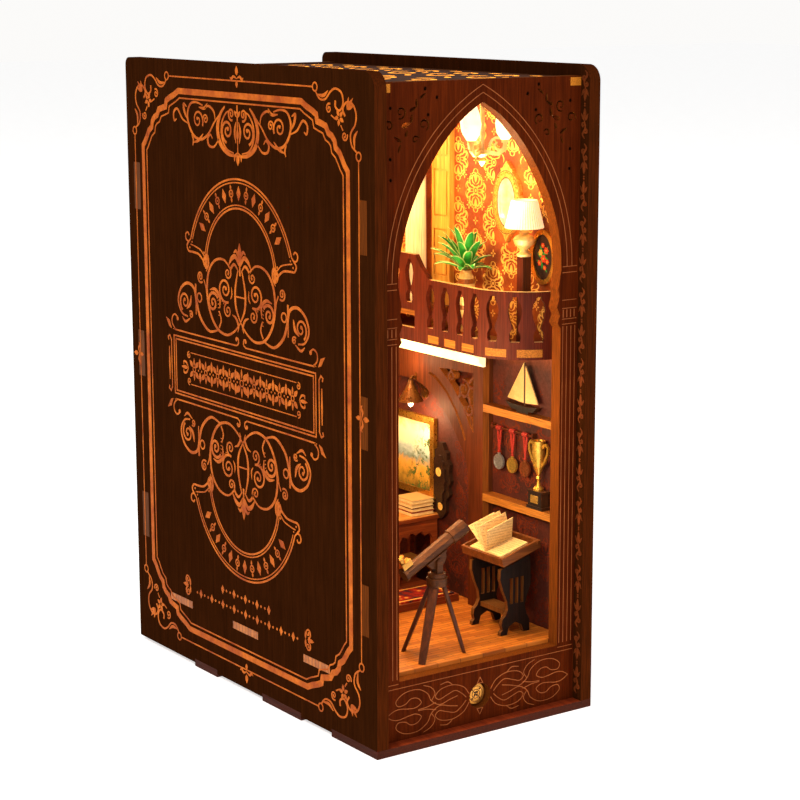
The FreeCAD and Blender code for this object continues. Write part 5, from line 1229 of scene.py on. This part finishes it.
# ------------------------------------------------------------------ camera, floor and light
cam = bpy.data.cameras.new("camera")
co = bpy.data.objects.new("camera", cam)
scene.collection.objects.link(co)
yaw, pitch, roll = math.radians(35.14), math.radians(-11.25), math.radians(-0.13)
fwd = Vector((math.sin(yaw) * math.cos(pitch), math.cos(yaw) * math.cos(pitch), math.sin(pitch)))
right = Vector((math.cos(yaw), -math.sin(yaw), 0))
up = right.cross(fwd)
r2 = right * math.cos(roll) + up * math.sin(roll)
u2 = up * math.cos(roll) - right * math.sin(roll)
m3 = Matrix((r2, u2, -fwd)).transposed()
co.matrix_world = Matrix.Translation(Vector((-0.4597, -0.6857, 0.2761))) @ m3.to_4x4()
cam.sensor_width = 36.0
cam.lens = 2122.5 / 800 * 36.0
cam.clip_start = 0.01
scene.camera = co

floor_me = bpy.data.meshes.new("floor")
floor_me.from_pydata([(-6, -6, 0), (6, -6, 0), (6, 6, 0), (-6, 6, 0)], [], [(0, 1, 2, 3)])
fm = Mat("floor_paper")
fc = fm.ramp(fm.noise(40, 2.0, 0.5), [(0.3, (0.9, 0.9, 0.9, 1)), (0.7, (0.94, 0.94, 0.94, 1))])
fm.link(fc, fm.b.inputs["Base Color"])
fm.link(fc, fm.b.inputs["Emission Color"])
fm.set(Roughness=0.9, Specular_IOR_Level=0.05, Emission_Strength=0.62)
floor_me.materials.append(fm.m)
floor = bpy.data.objects.new("floor", floor_me)
scene.collection.objects.link(floor)
floor.location.z = -0.0002

world = bpy.data.worlds.new("studio")
scene.world = world
world.use_nodes = True
wt = world.node_tree
bg = wt.nodes["Background"]
bg.inputs["Color"].default_value = (1, 0.99, 0.975, 1)
lp = wt.nodes.new("ShaderNodeLightPath")
mr_ = wt.nodes.new("ShaderNodeMapRange")
mr_.inputs["To Min"].default_value = 0.42
mr_.inputs["To Max"].default_value = 0.97
wt.links.new(lp.outputs["Is Camera Ray"], mr_.inputs["Value"])
wt.links.new(mr_.outputs["Result"], bg.inputs["Strength"])


def area(name, loc, target, size, watts, col):
    l = bpy.data.lights.new(name, "AREA")
    l.size = size
    l.energy = watts
    l.color = col
    o = bpy.data.objects.new(name, l)
    o.location = loc
    o.rotation_euler = (Vector(target) - Vector(loc)).to_track_quat("-Z", "Y").to_euler()
    scene.collection.objects.link(o)


def point(name, loc, watts, rad=2.5, col=(1.0, 0.62, 0.26)):
    l = bpy.data.lights.new(name, "POINT")
    l.energy = watts
    l.color = col
    l.shadow_soft_size = rad * MM
    o = bpy.data.objects.new(name, l)
    o.location = Vector(loc) * MM
    scene.collection.objects.link(o)


area("key", (-1.1, -0.7, 1.3), (0, 0, 0.12), 1.0, 15, (1, 0.95, 0.88))
area("rake", (-0.42, -0.46, 0.34), (-0.05, -0.06, 0.12), 0.25, 0.75, (1, 0.86, 0.7))
area("fill", (0.9, -1.3, 0.8), (0, 0, 0.12), 1.0, 7, (1, 0.93, 0.84))
area("top", (0.0, 0.2, 2.0), (0, 0, 0), 2.0, 9, (1, 0.98, 0.95))
WARM = (1.0, 0.75, 0.38)
for i, (x, y, z) in enumerate(((18, -60, 204), (-20, -10, 214), (4, 44, 214))):
    point("upper_%d" % i, (x, y, z), (0.125, 0.22, 0.26)[i], 4.0, WARM)
point("standing_lamp", (36.5, -62.2, 181.0), 0.012, 1.5, WARM)
point("wall_lamp_light", (34.0, 8.0, 101.0), 0.045, 2.0, WARM)
point("lower_room_light", (-20, -34, 124), 0.17, 5.0, WARM)
point("lower_back_light", (-10, 46, 118), 0.06, 5.0, WARM)
point("lower_front_light", (-30, -72, 112), 0.3, 3.0, (1.0, 0.8, 0.46))
point("fret_left", (-36, -76, 226), 0.012, 1.0, WARM)
point("fret_right", (36, -76, 226), 0.012, 1.0, WARM)
point("strip_light", (30, 10, 123), 0.03, 3.0, WARM)

scene.view_settings.view_transform = "Standard"
scene.view_settings.look = "None"
